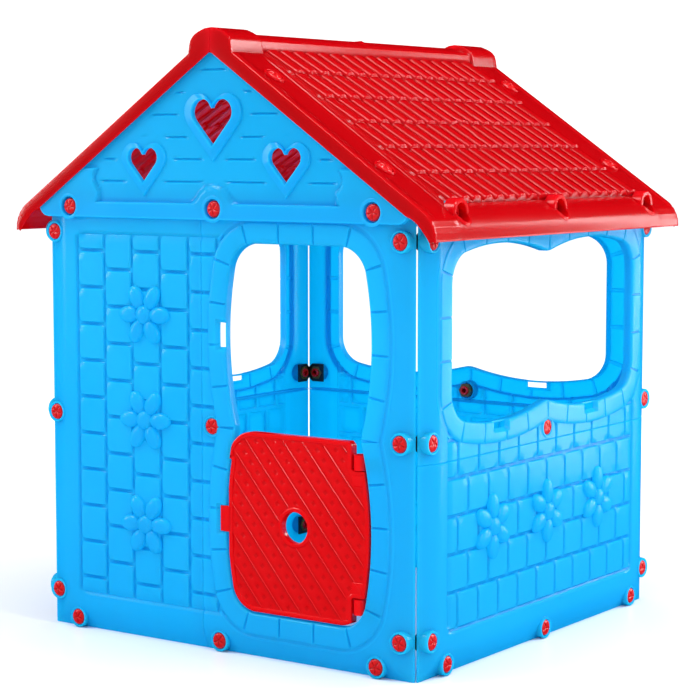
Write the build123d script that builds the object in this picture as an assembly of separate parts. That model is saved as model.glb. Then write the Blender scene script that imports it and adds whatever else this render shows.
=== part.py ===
from build123d import *
import os
from math import cos, radians, sin, tan

# A child's playhouse clipped together from moulded plastic panels. Millimetres, +Z up.
# The origin is on the floor under the middle of the house. The door gable faces -Y.

# ---- Driving dimensions -------------------------------------------------------------
panel_length = 880.0          # both wall mouldings are this long
brick_panel_height = 400.0    # brick moulding, outer rail to seam
skin = 3.0                    # wall thickness of every moulding
panel_depth = 20.0            # face to back edge of a wall panel
strip_width = 45.0            # edge strip that slopes back all round a wall
edge_land = 1.6               # flat edge left by the hollow behind a wall
recess_margin_u = 74.0        # panel end to the sunk brick field
recess_margin_v = 76.0        # rail edge to the sunk brick field
recess_depth = 4.0
recess_radius = 22.0
corner_gap = 2.0              # clear gap between two walls where they meet
seam_gap = 0.4                # between the two mouldings of one wall

opening_end_margin = 86.0     # panel end to the figure-eight opening of the window moulding
sill_margin = 57.0            # seam to the opening, at its two lobes
head_margin = 85.0            # opening to the outer rail, at its two lobes
waist_inset = 24.0            # how far the waist between the lobes comes in
opening_corner = 60.0
waist_radius = 55.0
ring_width = 41.0             # stone ring round the opening

bolt_inset = 22.0             # bolt centre to a panel's outer edge
bolt_station = 366.0          # bolt spacing either side of the middle of an edge
seam_bolt_height = 25.0       # seam to the bolt that holds the two mouldings together
boss_radius = 21.0
boss_proud = 2.0              # rim of the boss above the wall's face
cup_radius = 17.0
cup_depth = 7.0               # rim to the floor that the bolt's head bears on
back_cup_radius = 18.0
shank_radius = 10.0
shank_clearance = 0.3
head_radius = 16.0
head_height = 8.0
head_round = 3.0
bolt_bore_radius = 5.5
bolt_grip = 25.0              # head to tip of a wall bolt
nut_flats = 28.0
nut_height = 15.0
fit_gap = 0.2                 # between fixed pieces that bear on each other

connector_plate = 3.6
connector_height = 42.0
connector_neck = 20.0
connector_reach = 44.0        # length of each lobe from the corner
connector_taper = 13.0        # length over which a lobe narrows to the neck
cup_floor = 2.6
cup_wall_gap = 0.3
nut_pocket_gap = 0.3

slot_length = 55.0            # latch slots in the sill side of the opening
slot_width = 12.0
slot_station = 176.5
slot_ledge = 7.0              # face to the ledge that the latch lies over

gable_proud = 15.0            # gable's face ahead of the wall's face
gable_lap = 43.0              # how far it hangs over the top of the wall
gable_side_reach = 6.0        # past the end of the wall's panels
gable_corner = 26.0
gable_flange_reach = 72.0     # depth of the flange under the roof
gable_flange_inset = 15.0     # the flange stops short of the wall's top corner
gable_cup_radius = 19.0
heart_lobe_big = 24.6         # radius of the two round lobes
heart_lobe_small = 18.7
heart_spread = 0.95           # centre of a lobe off the middle line, in lobe radii
heart_tip = 2.6               # tip below the centres of the lobes, in lobe radii
heart_flank = 41.0            # direction of the point where a straight side leaves its lobe
heart_big_rise = 204.0        # bottom of the gable to the centre of the lobes
heart_small_rise = 118.0
heart_small_station = 172.0
heart_rim = 9.0               # depth of the rim behind the gable's face

roof_pitch = 34.3             # degrees
roof_wall_gap = 0.8           # top corner of a wall to the underside of the roof, upright
eave_overhang = 43.0          # past the face of the side walls
eave_drop = 50.0              # wall's top bolts to the bottom of the eave
eave_radius = 60.0
barge_gap = 1.5               # gable's face to the inside of the barge board
fascia_height = 33.5          # vertical height of the barge board
fascia_tip = 13.0             # its width at the eave
fascia_curl = 7.0             # corner where it turns down to the tip
cap_half_width = 45.0
cap_rise = 4.0                # ridge moulding above the meeting line of the slopes
cap_shoulder = 18.0           # height of its upright side
cap_bevel = 0.62              # share of its half width where the bevel starts
cap_side = 0.92               # share of its half width at the top of the upright side
cap_fall = 7.2                # drop from the middle to the start of the bevel
block_rise = 8.0              # end block above the ridge moulding
block_overhang = 6.0          # end block past the side of the ridge moulding
block_length = 102.0
ridge_flange = 42.0           # depth of the joint flange under the ridge
ridge_gap = 0.4               # between the two roof halves
ridge_screw_radius = 4.0
ridge_screw_drop = 30.0
ridge_screw_station = 300.0
ridge_screw_head = 7.0
tile_count = 18
tile_side_margin = 108.9      # end of the roof to the corrugated field
tile_valley = 7.4             # flat between two crests
tile_rise = 9.0
tile_start = 58.0             # along the slope from the ridge
tile_eave_margin = 45.0       # eave to the end of the corrugated field, level
roof_bolt_stations = (140.0, 442.0)
roof_bolt_end = 50.0          # end of the roof to its bolts
eave_boss_radius = 26.0
eave_boss_inset = 17.0        # tip of the eave to the mouth of the boss
eave_boss_gap = 1.0           # round the wall's own boss

door_top_drop = 4.0           # middle of the wall's height to the top of the door
door_gap = 4.0                # between the door's edge and the opening
door_face = 1.0               # face of the door behind the face of the wall
door_depth = 18.0
door_side_trim = 3.0          # flat taken off the door's left side
door_corner = 55.0
door_hole_radius = 30.0
door_hole_offset = 6.0        # hole's centre to the left of the doorway's middle
door_hole_drop = 174.0        # top of the door to the hole's centre

hinge_inset = 29.0            # hinge axis inside the doorway's widest point
hinge_depth = 10.0            # hinge axis behind the face of the wall
hinge_radius = 12.5
hinge_length = 29.0
hinge_top_drop = 23.0         # top of the door to the top of the upper knuckle
hinge_bottom_rise = 28.0      # bottom of the doorway to the bottom of the lower knuckle
hinge_pin_radius = 5.0
hinge_running_clearance = 0.08
hinge_pin_length = 21.0
hinge_end_gap = 1.4
hinge_notch_gap = 2.5
hinge_block = 11.0            # half width of the block that carries each stub pin
hinge_block_height = 30.0
hinge_foot_reach = 46.0
hinge_screw_reach = 36.0      # hinge axis to the screw that holds the foot
hinge_screw_radius = 2.5
hinge_screw_length = 16.0
hinge_screw_head = 5.0
hinge_screw_boss = 7.0
latch_length = 50.0
latch_thickness = 4.0
latch_end_gap = 2.0           # end of the latch to the far side of its slot

# ---- Values that follow from them ---------------------------------------------------
half_length = panel_length / 2
window_panel_height = panel_length - brick_panel_height
opening_half_length = half_length - opening_end_margin
opening_half_height = (window_panel_height - sill_margin - head_margin) / 2
opening_half_waist = opening_half_height - waist_inset
opening_centre = sill_margin + opening_half_height
strip_drop = panel_depth - skin
wall_plane = half_length + panel_depth + corner_gap
boss_back = boss_proud - cup_depth
floor_back = boss_back - skin
pitch = radians(roof_pitch)
slope = tan(pitch)
top_bolt_height = panel_length - bolt_inset
ridge_height = panel_length + roof_wall_gap + skin / cos(pitch) + slope * (wall_plane - strip_drop)
flange_drop = 2 * fit_gap - floor_back   # slope's top face to the gable flange under it
eave_half_width = wall_plane + eave_overhang
eave_bottom = top_bolt_height - eave_drop
eave_boss_face = eave_half_width - eave_boss_inset
gable_face = wall_plane + gable_proud
gable_apex = ridge_height - flange_drop / cos(pitch)
gable_bottom = panel_length - gable_lap
gable_half_width = half_length + gable_side_reach
gable_flange_end = half_length - gable_flange_inset
roof_half_length = gable_face + barge_gap + skin
tile_pitch = 2 * (roof_half_length - tile_side_margin) / tile_count
tile_chord = tile_pitch - tile_valley
tile_end = (eave_half_width - tile_eave_margin) / cos(pitch)
head_seat = boss_back + fit_gap / 2
cover_seat = boss_proud + fit_gap + skin + fit_gap / 2   # a bolt that goes through a cover first
corner_heights = (half_length - bolt_station, half_length, half_length + bolt_station)
doorway_middle = brick_panel_height - half_length + opening_centre
door_left = doorway_middle - opening_half_height + door_gap + door_side_trim
door_top = half_length - door_top_drop
door_hole_x = doorway_middle - door_hole_offset
door_hole_z = door_top - door_hole_drop
hinge_x = doorway_middle + opening_half_height - hinge_inset
hinge_y = -(wall_plane - hinge_depth)
hinge_top = door_top - hinge_top_drop
hinge_bottom = opening_end_margin + hinge_bottom_rise


def wall_frame(side):
    """Plane of one wall: x along the panels, y from the outer rail to the far edge, z outward."""
    if side == "front":
        return Plane(origin=(-half_length, -wall_plane, half_length), x_dir=(0, 0, -1), z_dir=(0, -1, 0))
    origins = {"right": (1, 0), "back": (0, 1), "left": (-1, 0)}
    out_x, out_y = origins[side]
    return Plane(
        origin=(out_x * wall_plane, out_y * wall_plane, 0),
        x_dir=(-out_y, out_x, 0),
        z_dir=(out_x, out_y, 0),
    )


def boxed(x_range, y_range, z_range):
    """Box between three pairs of limits."""
    size = [high - low for low, high in (x_range, y_range, z_range)]
    middle = [(high + low) / 2 for low, high in (x_range, y_range, z_range)]
    return Pos(*middle) * Box(*size)


def rod(radius, low, high, x=0.0, y=0.0):
    """Cylinder along z between two heights."""
    return Pos(x, y, (low + high) / 2) * Cylinder(radius, high - low)


def slab(face, low, high):
    """Sketch on the xy plane made into a plate between two heights."""
    return Pos(0, 0, low) * extrude(face, high - low)


# ---- Wall mouldings -----------------------------------------------------------------
def edge_profile(low, high, low_sloped, high_sloped, shift, base):
    """Section across a panel, between two edges that each slope back or stand upright."""
    low_run = strip_width if low_sloped else 0
    high_run = strip_width if high_sloped else 0
    points = [(low, base)]
    if low_sloped:
        points.append((low, -strip_drop - shift))
    points.append((low + low_run, -shift))
    points.append((high - high_run, -shift))
    if high_sloped:
        points.append((high, -strip_drop - shift))
    points.append((high, base))
    return make_face(Polyline(*points, close=True))


def pan(low, high, seam_low, lowered, shift, base, inset):
    """Solid under a panel's face, sloped on its two ends and its outer rail, upright at the seam."""
    length_section = edge_profile(-half_length + lowered, half_length - lowered, True, True, shift, base)
    ends = extrude(Plane.XZ * length_section, panel_length, both=True)
    height_section = edge_profile(
        low + (inset if seam_low else lowered),
        high - (lowered if seam_low else inset),
        not seam_low,
        seam_low,
        shift,
        base,
    )
    return ends & extrude(Plane.YZ * height_section, panel_length, both=True)


def shell(low, high, seam_low, recess):
    """Thin moulding: outer pan less the pan one skin below it, with its brick field sunk."""
    outer = pan(low, high, seam_low, 0.0, 0.0, -panel_depth, seam_gap / 2)
    inner = pan(low, high, seam_low, edge_land, skin, -panel_depth - 1, seam_gap / 2 + skin)
    outer -= slab(recess, -recess_depth, 1)
    inner -= slab(offset(recess, skin), -recess_depth - skin, 1) & pan(
        low, high, seam_low, 0.0, 0.0, -panel_depth, seam_gap / 2
    )
    return outer - inner


def add_boss(panel, x, y):
    """Round bolt boss: a cup in front for the head and a cup behind for the nut."""
    panel += rod(boss_radius, -panel_depth, boss_proud, x, y)
    panel -= rod(cup_radius, boss_back, boss_proud + 1, x, y)
    panel -= rod(back_cup_radius, -panel_depth - 1, floor_back, x, y)
    return panel - rod(shank_radius + shank_clearance, floor_back - 1, boss_back + 1, x, y)


def lobed_outline(grow):
    """Figure-eight outline made of two bulging arcs each side, grown by an offset."""
    end = opening_half_length
    waist = opening_half_waist
    bulge = opening_half_height
    face = Sketch()
    for sign in (1, -1):
        arc_top = ThreePointArc((0, waist), (sign * end / 2, bulge), (sign * end, waist))
        arc_low = ThreePointArc((0, -waist), (sign * end / 2, -bulge), (sign * end, -waist))
        face += make_face(
            [arc_top, arc_low, Line((0, waist), (0, -waist)), Line((sign * end, waist), (sign * end, -waist))]
        )
    corners = face.vertices().filter_by(lambda v: abs(abs(v.X) - end) < 1)
    face = fillet(corners, opening_corner)
    cusps = face.vertices().filter_by(lambda v: abs(v.X) < 1)
    face = fillet(cusps, waist_radius)
    if grow:
        face = offset(face, grow)
    return Pos(0, opening_centre) * face


def brick_panel():
    """Lower wall moulding, with the tongue that the seam bolt of the panel above goes through."""
    field_low = recess_margin_v
    field_high = brick_panel_height + 60
    field = Pos(0, (field_low + field_high) / 2) * RectangleRounded(
        panel_length - 2 * recess_margin_u, field_high - field_low, recess_radius
    )
    panel = shell(0, brick_panel_height, False, field)
    tongue_face = floor_back - fit_gap
    seam_bolt = brick_panel_height + seam_bolt_height
    tongue_root = brick_panel_height - 4 * skin
    tongue_length = seam_bolt - tongue_root
    tongue_outline = Pos(0, tongue_root + tongue_length / 2) * Rectangle(2 * cup_radius, tongue_length)
    tongue_outline += Pos(0, seam_bolt) * Circle(cup_radius)
    panel += slab(tongue_outline, tongue_face - skin, tongue_face)
    root_y = (tongue_root, brick_panel_height - seam_gap)
    panel += boxed((-cup_radius, cup_radius), root_y, (tongue_face, -skin))
    panel -= rod(shank_radius + shank_clearance, tongue_face - 2 * skin, tongue_face + 1, 0, seam_bolt)
    for x in (-bolt_station, 0, bolt_station):
        panel = add_boss(panel, x, bolt_inset)
    for x in (-1, 1):
        panel = add_boss(panel, x * (half_length - bolt_inset), half_length - bolt_station)
    return panel


def window_panel():
    """Upper wall moulding: figure-eight opening, rim, latch slots and bolt bosses."""
    field_half = half_length - recess_margin_u
    field = Pos(0, opening_centre / 2 - 30) * RectangleRounded(
        2 * field_half, opening_centre + 60, recess_radius
    ) - lobed_outline(ring_width)
    panel = shell(0, window_panel_height, True, field)
    opening = lobed_outline(0)
    panel += slab(lobed_outline(skin) - opening, -panel_depth, 0)
    for x in (-1, 1):
        slot_low = opening_centre - opening_half_height - skin - slot_width
        slot_x = (x * slot_station - slot_length / 2, x * slot_station + slot_length / 2)
        panel -= boxed(slot_x, (slot_low, slot_low + slot_width), (-panel_depth - 1, 1))
        panel -= boxed(slot_x, (slot_low, opening_centre), (-slot_ledge, 1))
    panel -= slab(opening, -panel_depth - 1, 1)
    panel = add_boss(panel, 0, seam_bolt_height)
    tongue_half = cup_radius + fit_gap
    panel -= boxed((-tongue_half, tongue_half), (-1, seam_bolt_height), (-panel_depth - 1, floor_back))
    for x in (-bolt_station, 0, bolt_station):
        panel = add_boss(panel, x, window_panel_height - bolt_inset)
    for x in (-1, 1):
        for height in corner_heights[1:]:
            panel = add_boss(panel, x * (half_length - bolt_inset), height - brick_panel_height)
    return panel


def door_frame_panel():
    """The window moulding again, with the two screw bosses that carry the door's hinges."""
    panel = window_panel()
    screw_across = hinge_x + hinge_screw_reach + half_length - brick_panel_height
    for height in (hinge_top - hinge_length / 2, hinge_bottom + hinge_length / 2):
        along = half_length - height
        panel += rod(hinge_screw_boss, -panel_depth, -skin / 2, along, screw_across)
        panel -= rod(hinge_screw_radius + fit_gap, -panel_depth - 1, -2 * skin, along, screw_across)
    return panel


# ---- Gables -------------------------------------------------------------------------
def gable_frame(side):
    """Plane of a gable: x across the house, y up, z outward from the wall's face."""
    out = -1 if side == "front" else 1
    return Plane(origin=(0, out * wall_plane, 0), x_dir=(-out, 0, 0), z_dir=(0, out, 0))


def heart(lobe):
    """Heart outline from two round lobes and the tangents that meet at its tip."""
    spread = heart_spread * lobe
    tip = -heart_tip * lobe
    turn = -radians(heart_flank)
    side_x = spread + lobe * cos(turn)
    side_y = lobe * sin(turn)
    outline = make_face(Polyline((side_x, side_y), (0, tip), (-side_x, side_y), (0, lobe / 3), close=True))
    return outline + Pos(spread, 0) * Circle(lobe) + Pos(-spread, 0) * Circle(lobe)


def gable():
    """Triangular end moulding with three heart openings and a flange that carries the roof."""
    shoulder = gable_apex - slope * gable_half_width
    side = gable_half_width
    right_edge = [(side, gable_bottom), (side, shoulder), (0, gable_apex)]
    outline = make_face(Polyline(*right_edge, (-side, shoulder), (-side, gable_bottom), close=True))
    outline = fillet(outline.vertices().filter_by(lambda v: v.Y < gable_bottom + 1), gable_corner)
    edge_band = outline - offset(outline, -skin)
    panel = slab(outline, gable_proud - skin, gable_proud)
    panel += slab(edge_band, boss_proud + fit_gap, gable_proud)
    flange_zone = Pos(0, panel_length + gable_bottom / 2) * Rectangle(2 * gable_flange_end, gable_bottom)
    panel += slab(edge_band & flange_zone, gable_proud - gable_flange_reach, gable_proud)
    for x in (-bolt_station, 0, bolt_station):
        panel += rod(boss_radius, boss_proud + fit_gap, gable_proud, x, top_bolt_height)
        panel -= rod(gable_cup_radius, boss_proud + fit_gap + skin, gable_proud + 1, x, top_bolt_height)
        panel -= rod(shank_radius + shank_clearance, boss_proud, gable_proud, x, top_bolt_height)
    hearts = [(0, gable_bottom + heart_big_rise, heart_lobe_big)]
    for x in (-heart_small_station, heart_small_station):
        hearts.append((x, gable_bottom + heart_small_rise, heart_lobe_small))
    for x, y, lobe in hearts:
        cut = Pos(x, y) * heart(lobe)
        panel += slab(offset(cut, skin), gable_proud - heart_rim, gable_proud)
        panel -= slab(cut, gable_proud - heart_rim - 1, gable_proud + 1)
    bolt_half = roof_half_length - roof_bolt_end
    for sign in (-1, 1):
        for station in roof_bolt_stations:
            hole = rod(shank_radius + shank_clearance, -4 * flange_drop, 0)
            spot = slope_frame(sign, station, 0)
            spot = Plane(
                origin=(spot.origin.X, spot.origin.Z, bolt_half - wall_plane),
                x_dir=(0, 0, 1),
                z_dir=(spot.z_dir.X, spot.z_dir.Z, 0),
            )
            panel -= spot * hole
    return panel


# ---- Roof ---------------------------------------------------------------------------
def slope_frame(sign, station, y):
    """Plane on the top face of one slope: z out of the roof, at a distance down from the ridge."""
    x = station * cos(pitch)
    return Plane(
        origin=(sign * x, y, ridge_height - slope * x),
        x_dir=(0, 1, 0),
        z_dir=(sign * sin(pitch), 0, cos(pitch)),
    )


def roof_area():
    """Everything under one roof half, in section, from the ridge to the tip of the eave."""
    edge = ridge_gap / 2
    centre_x = eave_half_width - eave_radius
    centre_z = ridge_height - slope * centre_x - eave_radius / cos(pitch)
    start_angle = radians(90 - roof_pitch)
    bend = []
    for angle in (start_angle, start_angle / 2, 0):
        bend.append((centre_x + eave_radius * cos(angle), centre_z + eave_radius * sin(angle)))
    cap_foot = ridge_height - slope * cap_half_width
    top = Polyline(
        (edge, ridge_height + cap_rise),
        (cap_bevel * cap_half_width, ridge_height + cap_rise - cap_fall),
        (cap_side * cap_half_width, cap_foot + cap_shoulder),
        (cap_half_width, cap_foot),
        bend[0],
    )
    lower = gable_bottom / 2
    closing = Polyline(bend[2], (eave_half_width, lower), (edge, lower), (edge, ridge_height + cap_rise))
    return make_face([*top.edges(), ThreePointArc(*bend), *closing.edges()])


def block_area():
    """Section of the raised block at each end of the ridge."""
    half = cap_half_width + block_overhang
    foot = ridge_height - slope * half
    return make_face(
        Polyline(
            (ridge_gap / 2, ridge_height + cap_rise + block_rise),
            (cap_bevel * half, ridge_height + cap_rise),
            (cap_side * half, foot + cap_shoulder + block_rise),
            (half, foot - skin),
            (ridge_gap / 2, foot - skin),
            close=True,
        )
    )


def across(face, low, high):
    """Section in x and z made solid between two y values."""
    return Pos(0, high, 0) * extrude(Plane.XZ * face, high - low)


def tile_field():
    """Corrugated field of one slope, in the frame of the slope: x along y, extruded down the slope."""
    half_chord = tile_chord / 2
    radius = (half_chord**2 + tile_rise**2) / (2 * tile_rise)
    width = tile_count * tile_pitch
    above = Pos(0, tile_rise - skin) * Rectangle(width, 2 * tile_rise)
    wave = Pos(0, -skin / 2) * Rectangle(width, skin)
    hollow = Sketch()
    ends = Sketch()
    for index in range(tile_count):
        place = Pos((index - (tile_count - 1) / 2) * tile_pitch, tile_rise - radius)
        wave += place * Circle(radius) & above
        ends += place * Circle(radius) & above
        hollow += place * Circle(radius - skin)
    length = tile_end - tile_start
    field = extrude(wave - hollow, length)
    for low in (0, length - skin):
        field += Pos(0, 0, low) * extrude(ends, skin)
    return field


def roof_half():
    """Right-hand roof moulding: ridge joint, corrugated slope, curved eave and barge boards."""
    area = roof_area()
    inner = offset(area, -skin)
    band = area - inner
    band -= Pos(0, gable_bottom / 2) * Rectangle(4 * eave_half_width, 2 * eave_bottom - gable_bottom)
    flange_low = ridge_height + cap_rise - ridge_flange
    band -= Pos(0, flange_low / 2) * Rectangle(4 * skin, flange_low)
    half = roof_half_length
    roof = across(band, -half, half)

    lifted = area + block_area()
    tip = eave_half_width - fascia_tip
    turn_x = eave_half_width - eave_radius
    turn_z = ridge_height - fascia_height - slope * turn_x
    open_part = make_face(
        Polyline(
            (-1, ridge_height - fascia_height),
            (turn_x, turn_z),
            (turn_x + fascia_curl, turn_z - fascia_curl),
            (tip, eave_bottom),
            (tip, 0),
            (-1, 0),
            close=True,
        )
    )
    below = Pos(0, eave_bottom / 2) * Rectangle(4 * eave_half_width, eave_bottom)
    lip = lifted - open_part - below
    for low in (-half, half - skin):
        roof += across(lip, low, low + skin)
    for low in (-half, half - block_length):
        roof += across(block_area() - inner, low, low + block_length)

    apex_room = gable_apex + 2 * fit_gap
    for sign in (-1, 1):
        inner_y = sign * (gable_face - gable_flange_reach - 2 * fit_gap)
        outer_y = sign * (gable_face + 2 * fit_gap)
        y_range = (min(inner_y, outer_y), max(inner_y, outer_y))
        roof -= boxed((-1, 2 * skin), y_range, (gable_bottom, apex_room))

    field_width = tile_count * tile_pitch
    field_frame = slope_frame(1, tile_start, 0)
    down = Plane(origin=field_frame.origin, x_dir=(0, -1, 0), z_dir=field_frame.z_dir)
    field_length = tile_end - tile_start
    roof -= down * (Pos(0, field_length / 2) * Box(field_width, field_length, 2 * skin + 2))
    run = Plane(origin=field_frame.origin, x_dir=(0, 1, 0), z_dir=(cos(pitch), 0, -sin(pitch)))
    roof += run * tile_field()

    for y in (-half + roof_bolt_end, half - roof_bolt_end):
        for station in roof_bolt_stations:
            spot = slope_frame(1, station, y)
            roof += spot * rod(boss_radius, floor_back, boss_proud)
            roof -= spot * rod(cup_radius, boss_back, boss_proud + 1)
            roof -= spot * rod(shank_radius + shank_clearance, floor_back - 1, boss_back + 1)

    seat = wall_plane + boss_proud + fit_gap
    clear = wall_plane + 2 * fit_gap
    hump_start = seat - boss_radius
    solid_area = across(area, -half, half)
    for y in (-bolt_station, 0, bolt_station):
        spot = Plane(origin=(0, y, top_bolt_height), x_dir=(0, 1, 0), z_dir=(1, 0, 0))
        hump = spot * rod(eave_boss_radius, hump_start, clear) - across(inner, -half, half)
        mouth = spot * rod(eave_boss_radius, clear, eave_boss_face)
        tail = spot * rod(eave_boss_radius, eave_boss_face, eave_half_width) & solid_area
        roof += hump
        roof += mouth
        roof += tail
        roof -= spot * rod(boss_radius + eave_boss_gap, hump_start - 1, seat)
        roof -= spot * rod(shank_radius + shank_clearance, seat - 1, eave_half_width)
        roof -= spot * rod(cup_radius, seat + skin, eave_half_width + 1)

    for y in (-ridge_screw_station, 0, ridge_screw_station):
        spot = ridge_screw_frame(y)
        roof -= spot * rod(ridge_screw_radius + fit_gap, -1, 2 * skin)
    return roof


def ridge_screw_frame(y):
    """Plane on the ridge joint: z toward +X along a joint screw."""
    return Plane(
        origin=(0, y, ridge_height + cap_rise - ridge_screw_drop), x_dir=(0, 1, 0), z_dir=(1, 0, 0)
    )


# ---- Half door ----------------------------------------------------------------------
def doorway(shrink):
    """The figure-eight opening as it stands in the front wall, upright, less a gap all round."""
    upright = Rot(0, 0, -90) * lobed_outline(-shrink)
    return Pos(brick_panel_height - half_length, half_length) * upright


def door_outline():
    """Lower lobe of the doorway less the door's gap, cut level at the top and notched at the hinges."""
    limit = RectangleRounded(2 * door_top, 2 * door_top, door_corner)
    leaf = doorway(door_gap) & (Pos(door_left + door_top, 0) * limit)
    notch_side = hinge_x - hinge_radius - hinge_notch_gap
    notch_width = 4 * hinge_radius
    upper_floor = hinge_top - hinge_length - hinge_end_gap
    lower_roof = hinge_bottom + hinge_length + hinge_end_gap
    leaf -= Pos(notch_side + notch_width / 2, upper_floor + hinge_x / 2) * Rectangle(notch_width, hinge_x)
    leaf -= Pos(notch_side + notch_width / 2, lower_roof - hinge_x / 2) * Rectangle(notch_width, hinge_x)
    return leaf


def half_door():
    """Lower door leaf with its finger hole, latch tab and two stub pins."""
    outline = door_outline()
    back = -door_face - door_depth
    leaf = slab(outline, -door_face - skin, -door_face)
    leaf += slab(outline - offset(outline, -skin), back, -door_face)
    hole = Pos(door_hole_x, door_hole_z)
    leaf += slab(hole * Circle(door_hole_radius + skin), back, -door_face)
    leaf -= slab(hole * Circle(door_hole_radius), back - 1, 1)
    slot_far = brick_panel_height - half_length + opening_centre - opening_half_height - skin - slot_width
    latch_z = half_length - slot_station
    leaf += boxed(
        (slot_far + latch_end_gap, door_left + skin),
        (latch_z - latch_length / 2, latch_z + latch_length / 2),
        (-door_face - latch_thickness, -door_face),
    )
    block_x = (hinge_x - hinge_block, hinge_x + hinge_block)
    upper_floor = hinge_top - hinge_length - hinge_end_gap
    lower_roof = hinge_bottom + hinge_length + hinge_end_gap
    for low in (upper_floor - hinge_block_height, lower_roof):
        leaf += boxed(block_x, (low, low + hinge_block_height), (back + skin, -door_face - skin / 2))
    leaf = gable_frame("front") * leaf
    leaf += rod(hinge_pin_radius, upper_floor - skin, upper_floor + hinge_pin_length, hinge_x, hinge_y)
    leaf += rod(hinge_pin_radius, lower_roof - hinge_pin_length, lower_roof + skin, hinge_x, hinge_y)
    return leaf


def hinge_bracket(upper):
    """Knuckle that holds one stub pin, with a foot screwed to the back of the door frame."""
    low = hinge_top - hinge_length if upper else hinge_bottom
    high = low + hinge_length
    back = -wall_plane + panel_depth + fit_gap
    bracket = rod(hinge_radius, low, high, hinge_x, hinge_y)
    bracket += boxed((hinge_x - skin, hinge_x + hinge_radius - skin), (hinge_y, back + 2 * skin), (low, high))
    around = Pos(hinge_x, (low + high) / 2) * Rectangle(8 * hinge_radius, 2 * hinge_length)
    wall_side = slab(around - doorway(3 * fit_gap), -panel_depth - fit_gap, hinge_radius)
    bracket -= gable_frame("front") * wall_side
    bracket += boxed((hinge_x - skin, hinge_x + hinge_foot_reach), (back, back + 2 * skin), (low, high))
    bore = hinge_pin_radius + hinge_running_clearance
    depth = hinge_pin_length + skin - hinge_end_gap
    bore_low, bore_high = (low - 1, low + depth) if upper else (high - depth, high + 1)
    bracket -= rod(bore, bore_low, bore_high, hinge_x, hinge_y)
    return bracket - hinge_screw_frame(upper) * rod(hinge_screw_radius + fit_gap, -1, 3 * skin)


def hinge_screw_frame(upper):
    """Plane on the front of a hinge foot: z into the house along its screw."""
    height = hinge_top - hinge_length / 2 if upper else hinge_bottom + hinge_length / 2
    return Plane(
        origin=(hinge_x + hinge_screw_reach, -wall_plane + panel_depth, height),
        x_dir=(-1, 0, 0),
        z_dir=(0, 1, 0),
    )


# ---- Fasteners and corner connectors ------------------------------------------------
def screw(radius, length, head, head_size):
    """Small pan-head screw along z: its head starts at 0 and its shank runs down."""
    return rod(head, 0, head_size) + rod(radius, -length, 0)


def bolt():
    """Hollow moulded bolt: round head with a cross slot, seated at 0, and a shank that runs down."""
    body = rod(head_radius, 0, head_height)
    body = fillet(body.edges().filter_by(GeomType.CIRCLE).sort_by(Axis.Z)[-1:], head_round)
    slot_z = (head_height - skin / 2, head_height + 1)
    slot = boxed((-head_radius / 2, head_radius / 2), (-skin / 2, skin / 2), slot_z)
    body -= slot + Rot(0, 0, 90) * slot
    body += rod(shank_radius, -bolt_grip, 0)
    return body - rod(bolt_bore_radius, -bolt_grip - 1, -skin)


def nut(flats, height, bore):
    """Hexagon nut with its bearing face at 0, running down."""
    hexagon = RegularPolygon(flats / 2, 6, major_radius=False)
    return slab(hexagon, -height, 0) - rod(bore, -height - 1, 1)


def corner_connector(height):
    """Black corner piece of two lobes, each with a cup for a nut, joined by a neck round the corner."""
    axis_x = half_length - bolt_inset
    outer = half_length + corner_gap - fit_gap
    plane = Plane(origin=(0, -wall_plane, height), x_dir=(1, 0, 0), z_dir=(0, -1, 0))
    reach = outer - connector_reach
    waist = outer - connector_taper
    half = connector_height / 2
    neck = connector_neck / 2
    lower_edge = [(reach, -half), (waist, -half), (outer, -neck)]
    upper_edge = [(outer, neck), (waist, half), (reach, half)]
    lobe_outline = make_face(Polyline(*lower_edge, *upper_edge, close=True))
    face = -panel_depth - fit_gap
    lobe = slab(lobe_outline, face - connector_plate, face)
    lobe += rod(back_cup_radius - cup_wall_gap, face, floor_back - fit_gap, axis_x, 0)
    pocket = RegularPolygon(nut_flats / 2 + nut_pocket_gap, 6, major_radius=False)
    lobe -= Pos(axis_x, 0) * slab(pocket, face - connector_plate - 1, floor_back - fit_gap - cup_floor)
    lobe -= rod(shank_radius + shank_clearance, -panel_depth, 0, axis_x, 0)
    lobe = plane * lobe
    other = mirror(lobe, about=Plane(origin=(0, 0, 0), z_dir=(1, 1, 0)))
    return lobe + other


def wall_spot(side, x, y):
    """Place on the face of a wall, in the wall's own lengths along and across its panels."""
    return wall_frame(side).location * Pos(x, y, 0)


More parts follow.
